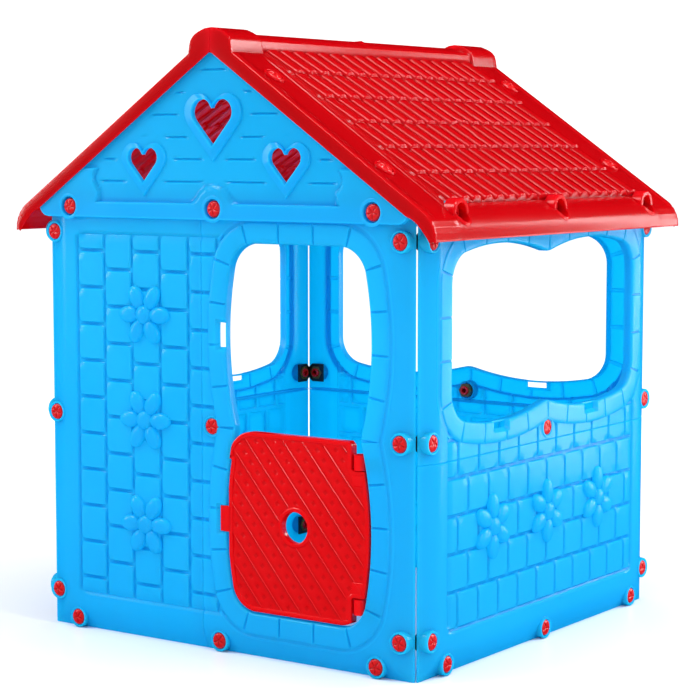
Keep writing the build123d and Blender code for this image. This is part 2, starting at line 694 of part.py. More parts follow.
def fasteners():
    """Every bolt and nut by node name, placed at the bosses of the mouldings they hold."""
    groups = {}

    def add(name, spot, seat, nut_seat):
        groups.setdefault(name + "_bolts", []).append(spot * (Pos(0, 0, seat) * bolt()))
        nut_shape = nut(nut_flats, nut_height, shank_radius + fit_gap)
        groups.setdefault(name + "_nuts", []).append(spot * (Pos(0, 0, nut_seat) * nut_shape))

    plain = floor_back - fit_gap / 2
    in_cup = floor_back - fit_gap - cup_floor - fit_gap / 2
    on_tongue = floor_back - fit_gap - skin - fit_gap / 2
    end = half_length - bolt_inset
    for side in ("front", "right", "back", "left"):
        add("seam", wall_spot(side, 0, brick_panel_height + seam_bolt_height), head_seat, on_tongue)
    for corner, (first, second) in CORNERS.items():
        for height in corner_heights:
            add("corner_" + corner, upright_spot(first, end, height), head_seat, in_cup)
            add("corner_" + corner, upright_spot(second, -end, height), head_seat, in_cup)
    for side in ("front", "right", "back", "left"):
        for x in (-bolt_station, 0, bolt_station):
            add("rail", upright_spot(side, x, bolt_inset), head_seat, plain)
            top = upright_spot(side, x, top_bolt_height)
            cover = "gable_" if side in ("front", "back") else "eave_"
            add(cover + side, top, cover_seat, plain)
    for sign, name in ((1, "roof_right"), (-1, "roof_left")):
        for y in (-roof_half_length + roof_bolt_end, roof_half_length - roof_bolt_end):
            for station in roof_bolt_stations:
                flange_back = -flange_drop - skin - fit_gap / 2
                add(name, slope_frame(sign, station, y).location, head_seat, flange_back)
    return groups


# Each corner is named with the wall on its left and the wall on its right, seen from outside.
CORNERS = {
    "front_right": ("front", "right"),
    "back_right": ("right", "back"),
    "back_left": ("back", "left"),
    "front_left": ("left", "front"),
}


def upright_spot(side, across_wall, height):
    """Place on the outside of a wall: across to the right as seen from outside, and a height."""
    turn = {"front": 0, "right": 90, "back": 180, "left": 270}[side]
    spot = Plane(origin=(across_wall, -wall_plane, height), x_dir=(1, 0, 0), z_dir=(0, -1, 0))
    return Rot(0, 0, turn) * spot.location


# ---- Assembly -----------------------------------------------------------------------
def build():
    """All nodes by name, in place."""
    nodes = {}
    brick = brick_panel()
    window = window_panel()
    for side in ("front", "right", "back", "left"):
        nodes["brick_panel_" + side] = wall_frame(side) * brick
    for side in ("right", "back", "left"):
        nodes["window_panel_" + side] = wall_frame(side) * (Pos(0, brick_panel_height, 0) * window)
    nodes["door_frame_panel"] = wall_frame("front") * (Pos(0, brick_panel_height, 0) * door_frame_panel())
    end_moulding = gable()
    for side in ("front", "back"):
        nodes["gable_" + side] = gable_frame(side) * end_moulding
    right = roof_half()
    nodes["roof_right"] = right
    nodes["roof_left"] = mirror(right, about=Plane.YZ)
    nodes["half_door"] = half_door()
    for name, upper in (("upper", True), ("lower", False)):
        nodes["hinge_bracket_" + name] = hinge_bracket(upper)
    hinge_screw = Pos(0, 0, 2 * skin + 2 * fit_gap) * screw(
        hinge_screw_radius, hinge_screw_length, hinge_screw_head, skin
    )
    hinge_screws = [hinge_screw_frame(upper) * hinge_screw for upper in (True, False)]
    nodes["hinge_screws"] = Compound(children=hinge_screws)
    levels = ("low", "middle", "top")
    for turn, corner in enumerate(CORNERS):
        for level, height in zip(levels, corner_heights):
            nodes[f"connector_{corner}_{level}"] = Rot(0, 0, 90 * turn) * corner_connector(height)
    flange_face = ridge_gap / 2 + skin + fit_gap / 2
    ridge_screw = Pos(0, 0, flange_face) * screw(
        ridge_screw_radius, 2 * flange_face + 3 * skin, ridge_screw_head, 1.5 * skin
    )
    ridge_nut = Pos(0, 0, -flange_face) * nut(2 * ridge_screw_head, 2 * skin, ridge_screw_radius + fit_gap)
    ridge_spots = [ridge_screw_frame(y) for y in (-ridge_screw_station, 0, ridge_screw_station)]
    nodes["ridge_screws"] = Compound(children=[spot * ridge_screw for spot in ridge_spots])
    nodes["ridge_nuts"] = Compound(children=[spot * ridge_nut for spot in ridge_spots])
    for name, solids in fasteners().items():
        nodes[name] = Compound(children=solids)
    return nodes


os.makedirs("parts", exist_ok=True)
for node_name, shape in build().items():
    export_step(shape, f"parts/{node_name}.step")
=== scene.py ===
from math import acos, atan2, ceil, cos, hypot, pi, radians, sin, sqrt, tan

import bmesh
import bpy
import numpy as np
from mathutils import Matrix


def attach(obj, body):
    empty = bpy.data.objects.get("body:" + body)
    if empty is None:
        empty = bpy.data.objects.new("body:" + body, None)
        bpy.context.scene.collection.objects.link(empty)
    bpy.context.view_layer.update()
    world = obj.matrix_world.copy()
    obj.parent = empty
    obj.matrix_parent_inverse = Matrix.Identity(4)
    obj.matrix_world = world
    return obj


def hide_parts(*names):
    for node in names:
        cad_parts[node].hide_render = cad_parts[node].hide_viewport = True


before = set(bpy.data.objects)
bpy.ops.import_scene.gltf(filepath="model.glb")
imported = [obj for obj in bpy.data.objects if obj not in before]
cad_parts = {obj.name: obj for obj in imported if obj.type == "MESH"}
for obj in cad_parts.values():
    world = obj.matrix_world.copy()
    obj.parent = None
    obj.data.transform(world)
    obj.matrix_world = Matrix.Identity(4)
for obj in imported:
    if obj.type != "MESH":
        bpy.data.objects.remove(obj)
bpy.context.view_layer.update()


# ---- Studio -------------------------------------------------------------------------
# A bright product studio: a wide pale floor under a white surround, which lights the thin walls
# from behind but isn't mirrored in them. The only reflections are of the soft boxes, tall strips
# and low cards, which draw the long highlights down the walls and along the roof.
scene = bpy.context.scene
scene.view_settings.view_transform = "Standard"


def linear(code):
    """sRGB hex colour as linear RGBA."""
    parts = [int(code[i : i + 2], 16) / 255 for i in (0, 2, 4)]
    return [c / 12.92 if c <= 0.04045 else ((c + 0.055) / 1.055) ** 2.4 for c in parts] + [1.0]


def add_node(tree, kind, inputs=None, **settings):
    """Adds a node to a tree, with its settings, values and links."""
    made = tree.nodes.new(kind)
    for name, value in settings.items():
        setattr(made, name, value)
    for socket, value in (inputs or {}).items():
        if isinstance(value, bpy.types.NodeSocket):
            tree.links.new(value, made.inputs[socket])
        else:
            made.inputs[socket].default_value = value
    return made


def mixed(tree, share, first, second):
    """Colour mixed from two by a share."""
    return add_node(tree, "ShaderNodeMix", {0: share, 6: first, 7: second}, data_type="RGBA").outputs[2]


def ranged(tree, value, low, high, first, last):
    """Value carried from one range into another."""
    limits = {0: value, 1: low, 2: high, 3: first, 4: last}
    return add_node(tree, "ShaderNodeMapRange", limits).outputs[0]


camera_data = bpy.data.cameras.new("Camera")
camera_data.sensor_width = 36.0
camera_data.lens = 108.2
camera = bpy.data.objects.new("Camera", camera_data)
camera.location = (2.494, -3.594, 0.976)
camera.rotation_euler = (radians(84.49), 0.0, radians(35.08))
scene.collection.objects.link(camera)
scene.camera = camera

world = bpy.data.worlds.new("White surround")
scene.world = world
world.use_nodes = True
surround = world.node_tree.nodes["Background"]
surround.inputs["Color"].default_value = (1.0, 1.0, 1.0, 1.0)
surround.inputs["Strength"].default_value = 1.25
world.cycles_visibility.glossy = False

# name, place and the point it faces in metres, width, height, power in watts
SOFT_BOXES = (
    ("overhead strip", (0.9, -0.3, 3.4), (0.2, 0.0, 0.8), 0.35, 3.0, 46.0),
    ("overhead box", (-1.6, -1.8, 3.2), (0.0, 0.0, 0.6), 1.4, 1.0, 44.0),
    ("front strip", (-3.6, -3.0, 1.7), (0.0, -0.4, 0.5), 0.4, 2.4, 34.0),
    ("far window strip", (2.3, 4.2, 1.3), (0.4, 0.0, 0.5), 0.22, 2.2, 26.0),
    ("high window box", (3.2, 3.2, 3.0), (0.4, 0.0, 0.5), 1.6, 1.1, 80.0),
    ("window strip", (3.6, 3.0, 1.5), (0.4, 0.0, 0.5), 0.22, 2.2, 26.0),
    ("near strip", (3.9, -0.8, 2.3), (0.4, 0.0, 0.6), 0.35, 2.0, 22.0),
    ("low card", (1.55, 1.0, 0.42), (0.46, 0.0, 0.3), 0.16, 0.7, 2.6),
    ("far low card", (1.45, 1.75, 0.3), (0.46, 0.3, 0.25), 0.3, 0.5, 3.2),
)
for name, place, aim, width, height, power in SOFT_BOXES:
    box_light = bpy.data.lights.new(name, "AREA")
    box_light.shape = "RECTANGLE"
    box_light.size = width
    box_light.size_y = height
    box_light.energy = power
    lamp = bpy.data.objects.new(name, box_light)
    lamp.location = place
    lamp.visible_camera = False
    step = [a - b for a, b in zip(aim, place)]
    lamp.rotation_euler = (atan2(hypot(step[0], step[1]), -step[2]), 0.0, atan2(-step[0], step[1]))
    scene.collection.objects.link(lamp)

FLOOR_HALF = 40.0
GLOSSY_TO = 1.0
MATT_FROM = 2.6
corners = [(x * FLOOR_HALF, y * FLOOR_HALF, 0) for x, y in ((-1, -1), (1, -1), (1, 1), (-1, 1))]
floor_mesh = bpy.data.meshes.new("studio_floor")
floor_mesh.from_pydata(corners, [], [(0, 1, 2, 3)])
floor = bpy.data.objects.new("studio_floor", floor_mesh)
scene.collection.objects.link(floor)
# Pale laminate: a soft mirror of the walls round the house, which dies away to plain matt white.
floor_paint = bpy.data.materials.new("Pale studio laminate")
floor_paint.use_nodes = True
tree = floor_paint.node_tree
surface = tree.nodes["Principled BSDF"].inputs
where = add_node(tree, "ShaderNodeTexCoord").outputs["Object"]
haze = add_node(tree, "ShaderNodeTexNoise", {"Vector": where, "Scale": 1.5, "Detail": 2.0})
tint = mixed(tree, haze.outputs["Fac"], linear("E9EDF3"), linear("F3F5F9"))
tree.links.new(tint, surface["Base Color"])
surface["Roughness"].default_value = 0.32
far = add_node(tree, "ShaderNodeVectorMath", {0: where}, operation="LENGTH")
gloss = ranged(tree, far.outputs["Value"], GLOSSY_TO, MATT_FROM, 0.5, 0.0)
tree.links.new(gloss, surface["Specular IOR Level"])
floor.visible_glossy = False
floor_mesh.materials.append(floor_paint)


# ---- Wall mouldings -----------------------------------------------------------------
# Each wall is a brick and a window moulding in blue HDPE with a 3 mm skin, and the relief shows
# through on the back. The front wall is the same pair stood on end, with the figure-eight opening
# as its doorway. Its bolts hold it to the other walls. Lengths are in millimetres from here on.
SKIN = 3.0
HALF = 440.0
WALL_PLANE = 462.0
SEAM = 400.0
PANEL_DEPTH = 20.0
STRIP = 45.0
STRIP_DROP = 17.0
FIELD_HALF = 368.0
FIELD_LOW = 76.0
FIELD_SINK = 4.0
FIELD_CORNER = 22.0
COURSE_START = 82.0
COURSE = 71.2
BRICK = 73.5
BRICK_RISE = 3.8
JOINT = 2.6
OPEN_CENTRE = 626.0
OPEN_HALF = 354.0
OPEN_WAIST = 145.0
OPEN_BULGE = 169.0
OPEN_CORNER = 60.0
WAIST_ROUND = 55.0
RING = 41.0
STONES = 26
SLOT_STATION = 176.5
SLOT_LENGTH = 55.0
SLOT_NEAR = 2.4
SLOT_FAR = 15.5
SLOT_LEDGE = 7.0
SEAM_GAP = 0.3
SEAM_ROUND = 1.6
RAIL_BOLT = 22.0
SEAM_BOLT = SEAM + 25.0
END = HALF - 22.0
STATION = 366.0
STATIONS = (-STATION, 0, STATION)
JOINT_LINES = (-4.8, -3.7, -2.6, 2.6, 3.7, 4.8)
FLOWERS = (-208.0, 0.0, 208.0)
FLOWER_LEVEL = 258.0
PETAL_ROOT = 1.5


def smooth(x):
    """Soft step from 0 to 1."""
    x = np.clip(x, 0, 1)
    return x * x * (3 - 2 * x)


def ruled(low, high, marks, offsets, gap):
    """Grid lines between two limits: close together at each mark, never wider apart than gap."""
    wanted = sorted({low, high, *(m + o for m in marks for o in offsets if low < m + o < high)})
    lines = [wanted[0]]
    for value in wanted[1:]:
        if value - lines[-1] < 0.35 and value != high:
            continue
        count = max(1, ceil((value - lines[-1]) / gap))
        lines += [lines[-1] + (value - lines[-1]) * (k + 1) / count for k in range(count)]
    return np.array(lines)


def lattice(points, keep=None, wrap=(False, False)):
    """Quads over a grid of points; their normals point along first step x second step."""
    rows, cols = points.shape[:2]
    index = np.arange(rows * cols).reshape(rows, cols)
    if wrap[0]:
        index = np.vstack([index, index[:1]])
    if wrap[1]:
        index = np.hstack([index, index[:, :1]])
    quads = np.stack([index[:-1, :-1], index[1:, :-1], index[1:, 1:], index[:-1, 1:]], -1)
    quads = quads[keep] if keep is not None else quads.reshape(-1, 4)
    used, quads = np.unique(quads, return_inverse=True)
    return points.reshape(-1, 3)[used], quads.reshape(-1, 4)


def around(sides):
    """Even angles once round a circle."""
    return np.arange(sides) * 2 * pi / sides


def at_level(line, level):
    """Outline lifted to one level."""
    return np.column_stack([line, np.full(len(line), level)])


def nearest(points, loop):
    """Closest point of a closed outline for each of the points, some at a time to save memory."""
    step = np.roll(loop, -1, 0) - loop
    found = np.empty_like(points)
    for low in range(0, len(points), 2000):
        some = points[low : low + 2000, None]
        share = np.clip(((some - loop) * step).sum(-1) / (step**2).sum(-1), 0, 1)
        spots = loop + share[..., None] * step
        best = ((some - spots) ** 2).sum(-1).argmin(1)
        found[low : low + 2000] = spots[np.arange(len(best)), best]
    return found


def within(points, loop):
    """True for each point inside a closed outline."""
    ahead = np.roll(loop, -1, 0)
    x, y = points[:, :1], points[:, 1:]
    spans = (loop[:, 1] > y) != (ahead[:, 1] > y)
    rise = np.where(ahead[:, 1] == loop[:, 1], 1e-9, ahead[:, 1] - loop[:, 1])
    cross = loop[:, 0] + (y - loop[:, 1]) * (ahead[:, 0] - loop[:, 0]) / rise
    return (spans & (x < cross)).sum(1) % 2 == 1


def trimmed(first, second, outer=None, holes=()):
    """Grid over two sets of lines, drawn in to an outer outline and out of any holes."""
    u, v = np.meshgrid(first, second, indexing="ij")
    flat = np.stack([u.ravel(), v.ravel()], 1)
    gone = np.zeros(len(flat), bool)
    for loop in ([outer] if outer is not None else []) + list(holes):
        off = ~within(flat, loop) if loop is outer else within(flat, loop)
        flat[off] = nearest(flat[off], loop)
        gone |= off
    gone = gone.reshape(u.shape)
    keep = ~(gone[:-1, :-1] & gone[1:, :-1] & gone[1:, 1:] & gone[:-1, 1:])
    return flat[:, 0].reshape(u.shape), flat[:, 1].reshape(u.shape), keep


def cleaned(verts, faces):
    """Mesh of vertices and faces with doubled points and empty faces taken out, in metres."""
    mesh = bpy.data.meshes.new("work")
    mesh.from_pydata((np.asarray(verts) * 0.001).tolist(), [], [list(map(int, f)) for f in faces])
    work = bmesh.new()
    work.from_mesh(mesh)
    bmesh.ops.remove_doubles(work, verts=work.verts, dist=2e-5)
    bmesh.ops.dissolve_degenerate(work, edges=work.edges, dist=1e-6)
    loose = [e for e in work.edges if not e.link_faces]
    bmesh.ops.delete(work, geom=loose, context="EDGES")
    work.to_mesh(mesh)
    work.free()
    return mesh


def read_back(mesh):
    """Vertices in millimetres and faces of a mesh, which is then thrown away."""
    verts = np.empty(len(mesh.vertices) * 3)
    mesh.vertices.foreach_get("co", verts)
    faces = [tuple(p.vertices) for p in mesh.polygons]
    bpy.data.meshes.remove(mesh)
    return verts.reshape(-1, 3) * 1000, faces


def evaluated(holder):
    """Plain mesh of an object with its modifiers applied."""
    seen = bpy.context.evaluated_depsgraph_get()
    return bpy.data.meshes.new_from_object(holder.evaluated_get(seen))


def thicken(sheet, depth=SKIN):
    """Open sheet made into a closed skin that grows inward from its face."""
    mesh = cleaned(*sheet)
    holder = bpy.data.objects.new("sheet", mesh)
    scene.collection.objects.link(holder)
    skin = holder.modifiers.new("skin", "SOLIDIFY")
    skin.thickness = depth * 0.001
    skin.offset = -1
    done = evaluated(holder)
    bpy.data.objects.remove(holder)
    bpy.data.meshes.remove(mesh)
    return read_back(done)


def lathe(profile, centre, sides=40):
    """Closed ring turned about an axis through a point: profile is (radius, height), clockwise."""
    radius, height = np.array(profile, float).T
    turn = around(sides)
    x = centre[0] + radius[:, None] * np.cos(turn)
    y = centre[1] + radius[:, None] * np.sin(turn)
    points = np.stack([x, y, centre[2] + height[:, None] + 0 * turn], -1)
    return lattice(points, wrap=(True, True))


def joined(parts):
    """Several shells as one list of vertices and one of faces."""
    verts, faces, count = [], [], 0
    for part_verts, part_faces in parts:
        verts.append(part_verts)
        faces += [[int(i) + count for i in face] for face in part_faces]
        count += len(part_verts)
    return np.vstack(verts), faces


def shaded(mesh, crease):
    """Mesh shaded smooth except along its creases."""
    mesh.polygons.foreach_set("use_smooth", [True] * len(mesh.polygons))
    mesh.set_sharp_from_angle(angle=radians(crease))
    return mesh


def entered(name, mesh, body, nodes):
    """Mesh made a piece that rides on its body and stands for its CAD nodes."""
    piece = bpy.data.objects.new(name, mesh)
    scene.collection.objects.link(piece)
    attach(piece, body)
    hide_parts(*nodes)


def finished(name, shell, place, finish, body, nodes, crease=38):
    """Shell in millimetres made a piece in its place: place is a turn and an origin."""
    turn, origin = place
    verts, faces = shell
    mesh = shaded(cleaned(verts @ np.array(turn, float) + np.array(origin, float), faces), crease)
    mesh.name = name
    mesh.materials.append(finish)
    entered(name, mesh, body, nodes)


def moulded(name, body, cloud, glow_and_edge_highlight, crease_shade, share, roughness, peel):
    """Plastic from a mould: cloudy tone, fine peel, a painted highlight on sharp edges and painted
    shade in hollows and creases, and for a thin skin a share of light that comes through from behind."""
    made = bpy.data.materials.new(name)
    made.use_nodes = True
    tree = made.node_tree
    shader = tree.nodes["Principled BSDF"]
    where = add_node(tree, "ShaderNodeTexCoord").outputs["Object"]
    drift = add_node(tree, "ShaderNodeTexNoise", {"Vector": where, "Scale": 5.0, "Detail": 3.0})
    tone = mixed(tree, drift.outputs["Fac"], linear(body), linear(cloud))
    edge = add_node(tree, "ShaderNodeNewGeometry").outputs["Pointiness"]
    # painted highlight: sharp outer edges are lightened towards the glow colour
    edge_highlit = mixed(tree, ranged(tree, edge, 0.515, 0.60, 0.0, 0.45), tone, linear(glow_and_edge_highlight))
    # painted shade: hollows and creases are darkened towards the shade colour
    with_painted_shade = mixed(tree, ranged(tree, edge, 0.495, 0.43, 0.0, 0.95), edge_highlit, linear(crease_shade))
    tree.links.new(with_painted_shade, shader.inputs["Base Color"])
    sheen = ranged(tree, drift.outputs["Fac"], 0.0, 1.0, roughness * 0.85, roughness * 1.2)
    tree.links.new(sheen, shader.inputs["Roughness"])
    shader.inputs["IOR"].default_value = 1.5
    grain = add_node(tree, "ShaderNodeTexNoise", {"Vector": where, "Scale": 420.0, "Detail": 1.0})
    relief = {"Height": grain.outputs["Fac"], "Strength": peel, "Distance": 0.0004}
    bump = add_node(tree, "ShaderNodeBump", relief)
    tree.links.new(bump.outputs[0], shader.inputs["Normal"])
    if share:
        through = add_node(tree, "ShaderNodeBsdfTranslucent", {"Color": linear(glow_and_edge_highlight)})
        parts = {0: share, 1: shader.outputs[0], 2: through.outputs[0]}
        both = add_node(tree, "ShaderNodeMixShader", parts)
        tree.links.new(both.outputs[0], tree.nodes["Material Output"].inputs["Surface"])
    return made


# Blue HDPE, moulded thin: even and glossy, and it glows cyan where light stands behind it.
# The cyan is also the painted highlight on sharp edges, and the dark blue is the painted shade in hollows.
blue_hdpe = moulded("Moulded blue HDPE", "16B6E8", "28C2EE", "2CE2FF", "0664B4", 0.6, 0.2, 0.25)


def edge_drop(u, v):
    """Height of a wall's face where it curves back along its four edges."""
    reach = np.minimum(np.minimum(HALF - np.abs(u), v), 2 * HALF - v)
    share = np.clip(1 - reach / STRIP, 0, 1)
    return -STRIP_DROP * share ** 1.35


def wall_face(u, v):
    """Height of the wall's face over u and v: curved edges, sunk field and running bond bricks."""
    height = edge_drop(u, v)
    past_u = np.maximum(np.abs(u) - (FIELD_HALF - FIELD_CORNER), 0)
    past_v = np.maximum(FIELD_LOW + FIELD_CORNER - v, 0)
    inner = FIELD_CORNER - np.hypot(past_u, past_v)
    inner = np.where(v < OPEN_CENTRE, inner, -1)
    height = height - FIELD_SINK * smooth(inner / 5)
    course = np.floor((v - COURSE_START) / COURSE)
    rise = (v - COURSE_START) - course * COURSE
    from_bed = np.minimum(rise, COURSE - rise) - JOINT
    shift = np.where(course % 2 == 0, BRICK / 2, 0)
    along = np.abs((u - shift + BRICK / 2) % BRICK - BRICK / 2) - JOINT
    along = np.minimum(along, FIELD_HALF - 5 - np.abs(u))
    corner = 6.0
    near = np.hypot(np.maximum(corner - along, 0), np.maximum(corner - from_bed, 0))
    brick = np.minimum(np.minimum(along, from_bed), corner - near)
    brick = np.where((course >= 0) & (inner > 4), brick, -1)
    return height + BRICK_RISE * smooth(brick / 2.2)


def quadrant():
    """Points and outward directions along a quarter of the figure-eight opening."""
    arc_radius = (OPEN_HALF**2 / 4 + (OPEN_BULGE - OPEN_WAIST) ** 2) / (2 * (OPEN_BULGE - OPEN_WAIST))
    arc_x, arc_y = OPEN_HALF / 2, OPEN_BULGE - arc_radius
    corner_x = OPEN_HALF - OPEN_CORNER
    corner_y = arc_y + sqrt((arc_radius - OPEN_CORNER) ** 2 - (corner_x - arc_x) ** 2)
    waist_y = arc_y + sqrt((arc_radius + WAIST_ROUND) ** 2 - arc_x**2)
    leave = atan2(corner_y - arc_y, corner_x - arc_x)
    meet = atan2(waist_y - arc_y, -arc_x)
    spots, ways = [], []
    for y in np.arange(0, corner_y, 1.5):
        spots.append((OPEN_HALF, y))
        ways.append((1, 0))
    for centre_x, centre_y, radius, low, high, way in (
        (corner_x, corner_y, OPEN_CORNER, 0, leave, 1),
        (arc_x, arc_y, arc_radius, leave, meet, 1),
        (0, waist_y, WAIST_ROUND, meet + pi, 1.5 * pi, -1),
    ):
        for angle in np.linspace(low, high, int(abs(high - low) * radius / 1.5) + 2)[:-1]:
            spots.append((centre_x + radius * cos(angle), centre_y + radius * sin(angle)))
            ways.append((way * cos(angle), way * sin(angle)))
    return np.array(spots), np.array(ways)


def opening():
    """The whole opening, anticlockwise from its right-hand end: points and outward directions."""
    whole = []
    for values in quadrant():
        upper = np.vstack([values, values[::-1][:-1] * (-1, 1)])
        whole.append(np.vstack([upper, upper * (-1, -1)]))
    return whole


OPEN_SPOTS, OPEN_WAYS = opening()
OPEN_SPOTS = OPEN_SPOTS + (0, OPEN_CENTRE)


def ring_lines():
    """Stations along the ring, close together at the joints between stones, and the joints."""
    middle = OPEN_SPOTS + OPEN_WAYS * RING / 2
    steps = np.hypot(*(np.roll(middle, -1, 0) - middle).T)
    travelled = np.concatenate([[0], np.cumsum(steps)])
    total = travelled[-1]
    joints = [(k + 0.5) * total / STONES for k in range(STONES)]
    lines = ruled(0.0, total, joints, (-4.2, -2.8, -1.5, 1.5, 2.8, 4.2), 7.0)[:-1]
    closed = [np.vstack([values, values[:1]]) for values in (OPEN_SPOTS, OPEN_WAYS)]
    spots, ways = (np.stack([np.interp(lines, travelled, c[:, k]) for k in (0, 1)], 1) for c in closed)
    apart = np.min(np.abs(lines[:, None] - np.array(joints)), 1)
    return spots, ways, apart


def stone_ring():
    """Ring of stones: rim turned into the opening, rounded nose, flat stones, bevelled outer edge."""
    spots, ways, apart = ring_lines()
    profile = [(0, -18.5), (0, -11), (0, -4), (0.7, -1.2), (2.6, 0.8), (5, 1.4), (10, 1.6), (15, 1.7)]
    profile += [(22, 1.8), (30, 1.8), (37, 1.7), (39.6, 1.2), (RING, -0.4), (RING + 0.8, -2.6)]
    outside_field = (np.abs(spots[:, 0]) > FIELD_HALF - 40) | (spots[:, 1] > OPEN_CENTRE)
    groove = 1 - smooth((apart - 1.3) / 1.6)
    rows = []
    for out, height in profile:
        at = spots + ways * out
        level = height - 2.8 * groove * smooth((out - 0.4) / 2)
        if out > 36:
            level = np.minimum(level, edge_drop(*at.T) + max(height, 0) + 0.6)
        rows.append(np.column_stack([at, level]))
    # past the stones a lip lies on the plain strip, and tucks under the edge of the sunk field
    for out, height in ((44.0, -2.4), (46.5, 0.25), (50.5, 0.12)):
        past = out - 44.0
        at = spots + ways * out
        lip = np.minimum(height, edge_drop(*at.T) + 0.25)
        level = np.where(outside_field, lip, -5.5 - past * 0.1)
        at = np.where(outside_field[:, None], at, spots + ways * (41.9 + past * 0.02))
        rows.append(np.column_stack([at, level]))
    points = np.stack(rows)
    # at the two latch slots the ring drops to a ledge, with the slot itself left open
    from_slot = np.abs(np.abs(spots[:, 0]) - SLOT_STATION)
    sill = (spots[:, 1] < OPEN_CENTRE) & (from_slot < SLOT_LENGTH / 2)
    across = np.array([out for out, _ in profile])
    stones = points[: len(across), :, 2]
    stones[:] = np.where(np.outer(across < SLOT_FAR, sill), np.minimum(stones, -SLOT_LEDGE), stones)
    next_sill = sill & np.roll(sill, -1)
    slot_rows = (across[:-1] > SLOT_NEAR) & (across[1:] < SLOT_FAR)
    keep = np.ones((len(points) - 1, len(spots)), bool)
    keep[: len(slot_rows)] &= ~np.outer(slot_rows, next_sill)
    return thicken(lattice(points, keep, wrap=(False, True)), 2.6)


# radius and height round a bolt's boss: cup, proud rim, outside, back cup
BOSS = [(10.4, -5), (17, -5), (17, 0.8), (17.8, 2), (20, 2), (21, 0.6), (21.4, -2), (21.4, -20)]
BOSS += [(18, -20), (18, -8), (10.4, -8)]


def petalled(centre, base):
    """Raised flower: a round button and six domed petals, one of them pointing across the courses."""
    domes = [(0.0, 0.0, 19.0, 19.0, 0.0, 13.0)]
    for k in range(6):
        way = radians(90 + 60 * k)
        domes.append((38.5 * cos(way), 38.5 * sin(way), 25.0, 16.5, way, 10.5))
    # share of the dome's size and of its rise, from its buried underside up
    bow = [(0, 0), (1, 0), (1, 0), (0.965, 0.42), (0.88, 0.68), (0.7, 0.88), (0.42, 0.98), (0, 1)]
    parts = []
    turn = around(28)
    for x, y, long, wide, way, rise in domes:
        rings = []
        for k, (share, level) in enumerate(bow):
            a, b = long * share * np.cos(turn), wide * share * np.sin(turn)
            across = centre[0] + x + a * cos(way) - b * sin(way)
            along = centre[1] + y + a * sin(way) + b * cos(way)
            height = base + (-PETAL_ROOT if k < 2 else level * rise)
            rings.append(at_level(np.column_stack([across, along]), height))
        parts.append(lattice(np.stack(rings[::-1]), wrap=(False, True)))
    return joined(parts)


def wall_grid(low, high, first, last, gap):
    """Lines along and across part of a wall, close together at the joints between bricks."""
    ends = [k * BRICK / 2 for k in range(-10, 11)] + [-FIELD_HALF, FIELD_HALF]
    beds = [COURSE_START + k * COURSE for k in range(first, last)] + [FIELD_LOW]
    return ruled(-HALF, HALF, ends, JOINT_LINES, 12.0), ruled(low, high, beds, JOINT_LINES, gap)


def folded(points, seam):
    """Grid whose four edges turn back to the moulding's depth, rounded along the seam's column."""
    ends = points[[0, -1]].copy()
    ends[..., 2] = -PANEL_DEPTH
    points = np.concatenate([ends[:1], points, ends[1:]], 0)
    rounded, hem, rail = (points[:, [column]].copy() for column in (seam, seam, -1 - seam))
    rounded[..., 2] -= SEAM_ROUND
    hem[..., 2] = rail[..., 2] = -PANEL_DEPTH
    points[:, seam, 1] += SEAM_ROUND if seam == 0 else -SEAM_ROUND
    columns = [hem, rounded, points, rail]
    return np.concatenate(columns if seam == 0 else columns[::-1], 1)


def brick_shell():
    """Brick moulding in the wall's own lengths: relief skin, folded edges, bosses and flowers."""
    u, v = np.meshgrid(*wall_grid(0.0, SEAM - SEAM_GAP, 0, 5, 9.0), indexing="ij")
    points = np.stack([u, v, wall_face(u, v)], -1)
    parts = [thicken(lattice(folded(points, -1)))]
    bosses = [(x, RAIL_BOLT) for x in STATIONS] + [(x, HALF - STATION) for x in (-END, END)]
    parts += [lathe(BOSS, (*spot, 0)) for spot in bosses]
    parts += [petalled((x, FLOWER_LEVEL), -FIELD_SINK + BRICK_RISE - 0.4) for x in FLOWERS]
    return joined(parts)


def window_shell():
    """Window moulding: the bricks run on up to the stone ring round its figure-eight opening."""
    hidden = OPEN_SPOTS + OPEN_WAYS * 37.0
    us, vs = wall_grid(SEAM + SEAM_GAP, 2 * HALF, 4, 7, 10.0)
    u, v, keep = trimmed(us, vs, holes=[hidden])
    points = folded(np.stack([u, v, wall_face(u, v)], -1), 0)
    keep = np.pad(keep, ((1, 1), (2, 1)), constant_values=True)
    parts = [thicken(lattice(points, keep)), stone_ring()]
    bosses = [(x, 2 * HALF - RAIL_BOLT) for x in STATIONS]
    bosses += [(x, y) for x in (-END, END) for y in (HALF, HALF + STATION)] + [(0, SEAM_BOLT)]
    parts += [lathe(BOSS, (*spot, 0)) for spot in bosses]
    return joined(parts)


# rows of each turn: where a shell's own three directions point, then where its origin goes
FACING_FRONT = (((1, 0, 0), (0, 0, 1), (0, -1, 0)), (0, -WALL_PLANE, 0))
FACING_BACK = (((-1, 0, 0), (0, 0, 1), (0, 1, 0)), (0, WALL_PLANE, 0))
AS_DRAWN = (((1, 0, 0), (0, 1, 0), (0, 0, 1)), (0, 0, 0))
HALF_TURN = (((-1, 0, 0), (0, -1, 0), (0, 0, 1)), (0, 0, 0))
WALLS = {
    "front": (((0, 0, -1), (1, 0, 0), (0, -1, 0)), (-HALF, -WALL_PLANE, HALF)),
    "right": (((0, 1, 0), (0, 0, 1), (1, 0, 0)), (WALL_PLANE, 0, 0)),
    "back": FACING_BACK,
    "left": (((0, -1, 0), (0, 0, 1), (-1, 0, 0)), (-WALL_PLANE, 0, 0)),
}
brick = brick_shell()
window = window_shell()
for side, place in WALLS.items():
    finished(f"brick_wall_{side}", brick, place, blue_hdpe, "house", [f"brick_panel_{side}"])
    node = "door_frame_panel" if side == "front" else f"window_panel_{side}"
    finished(f"window_wall_{side}", window, place, blue_hdpe, "house", [node])


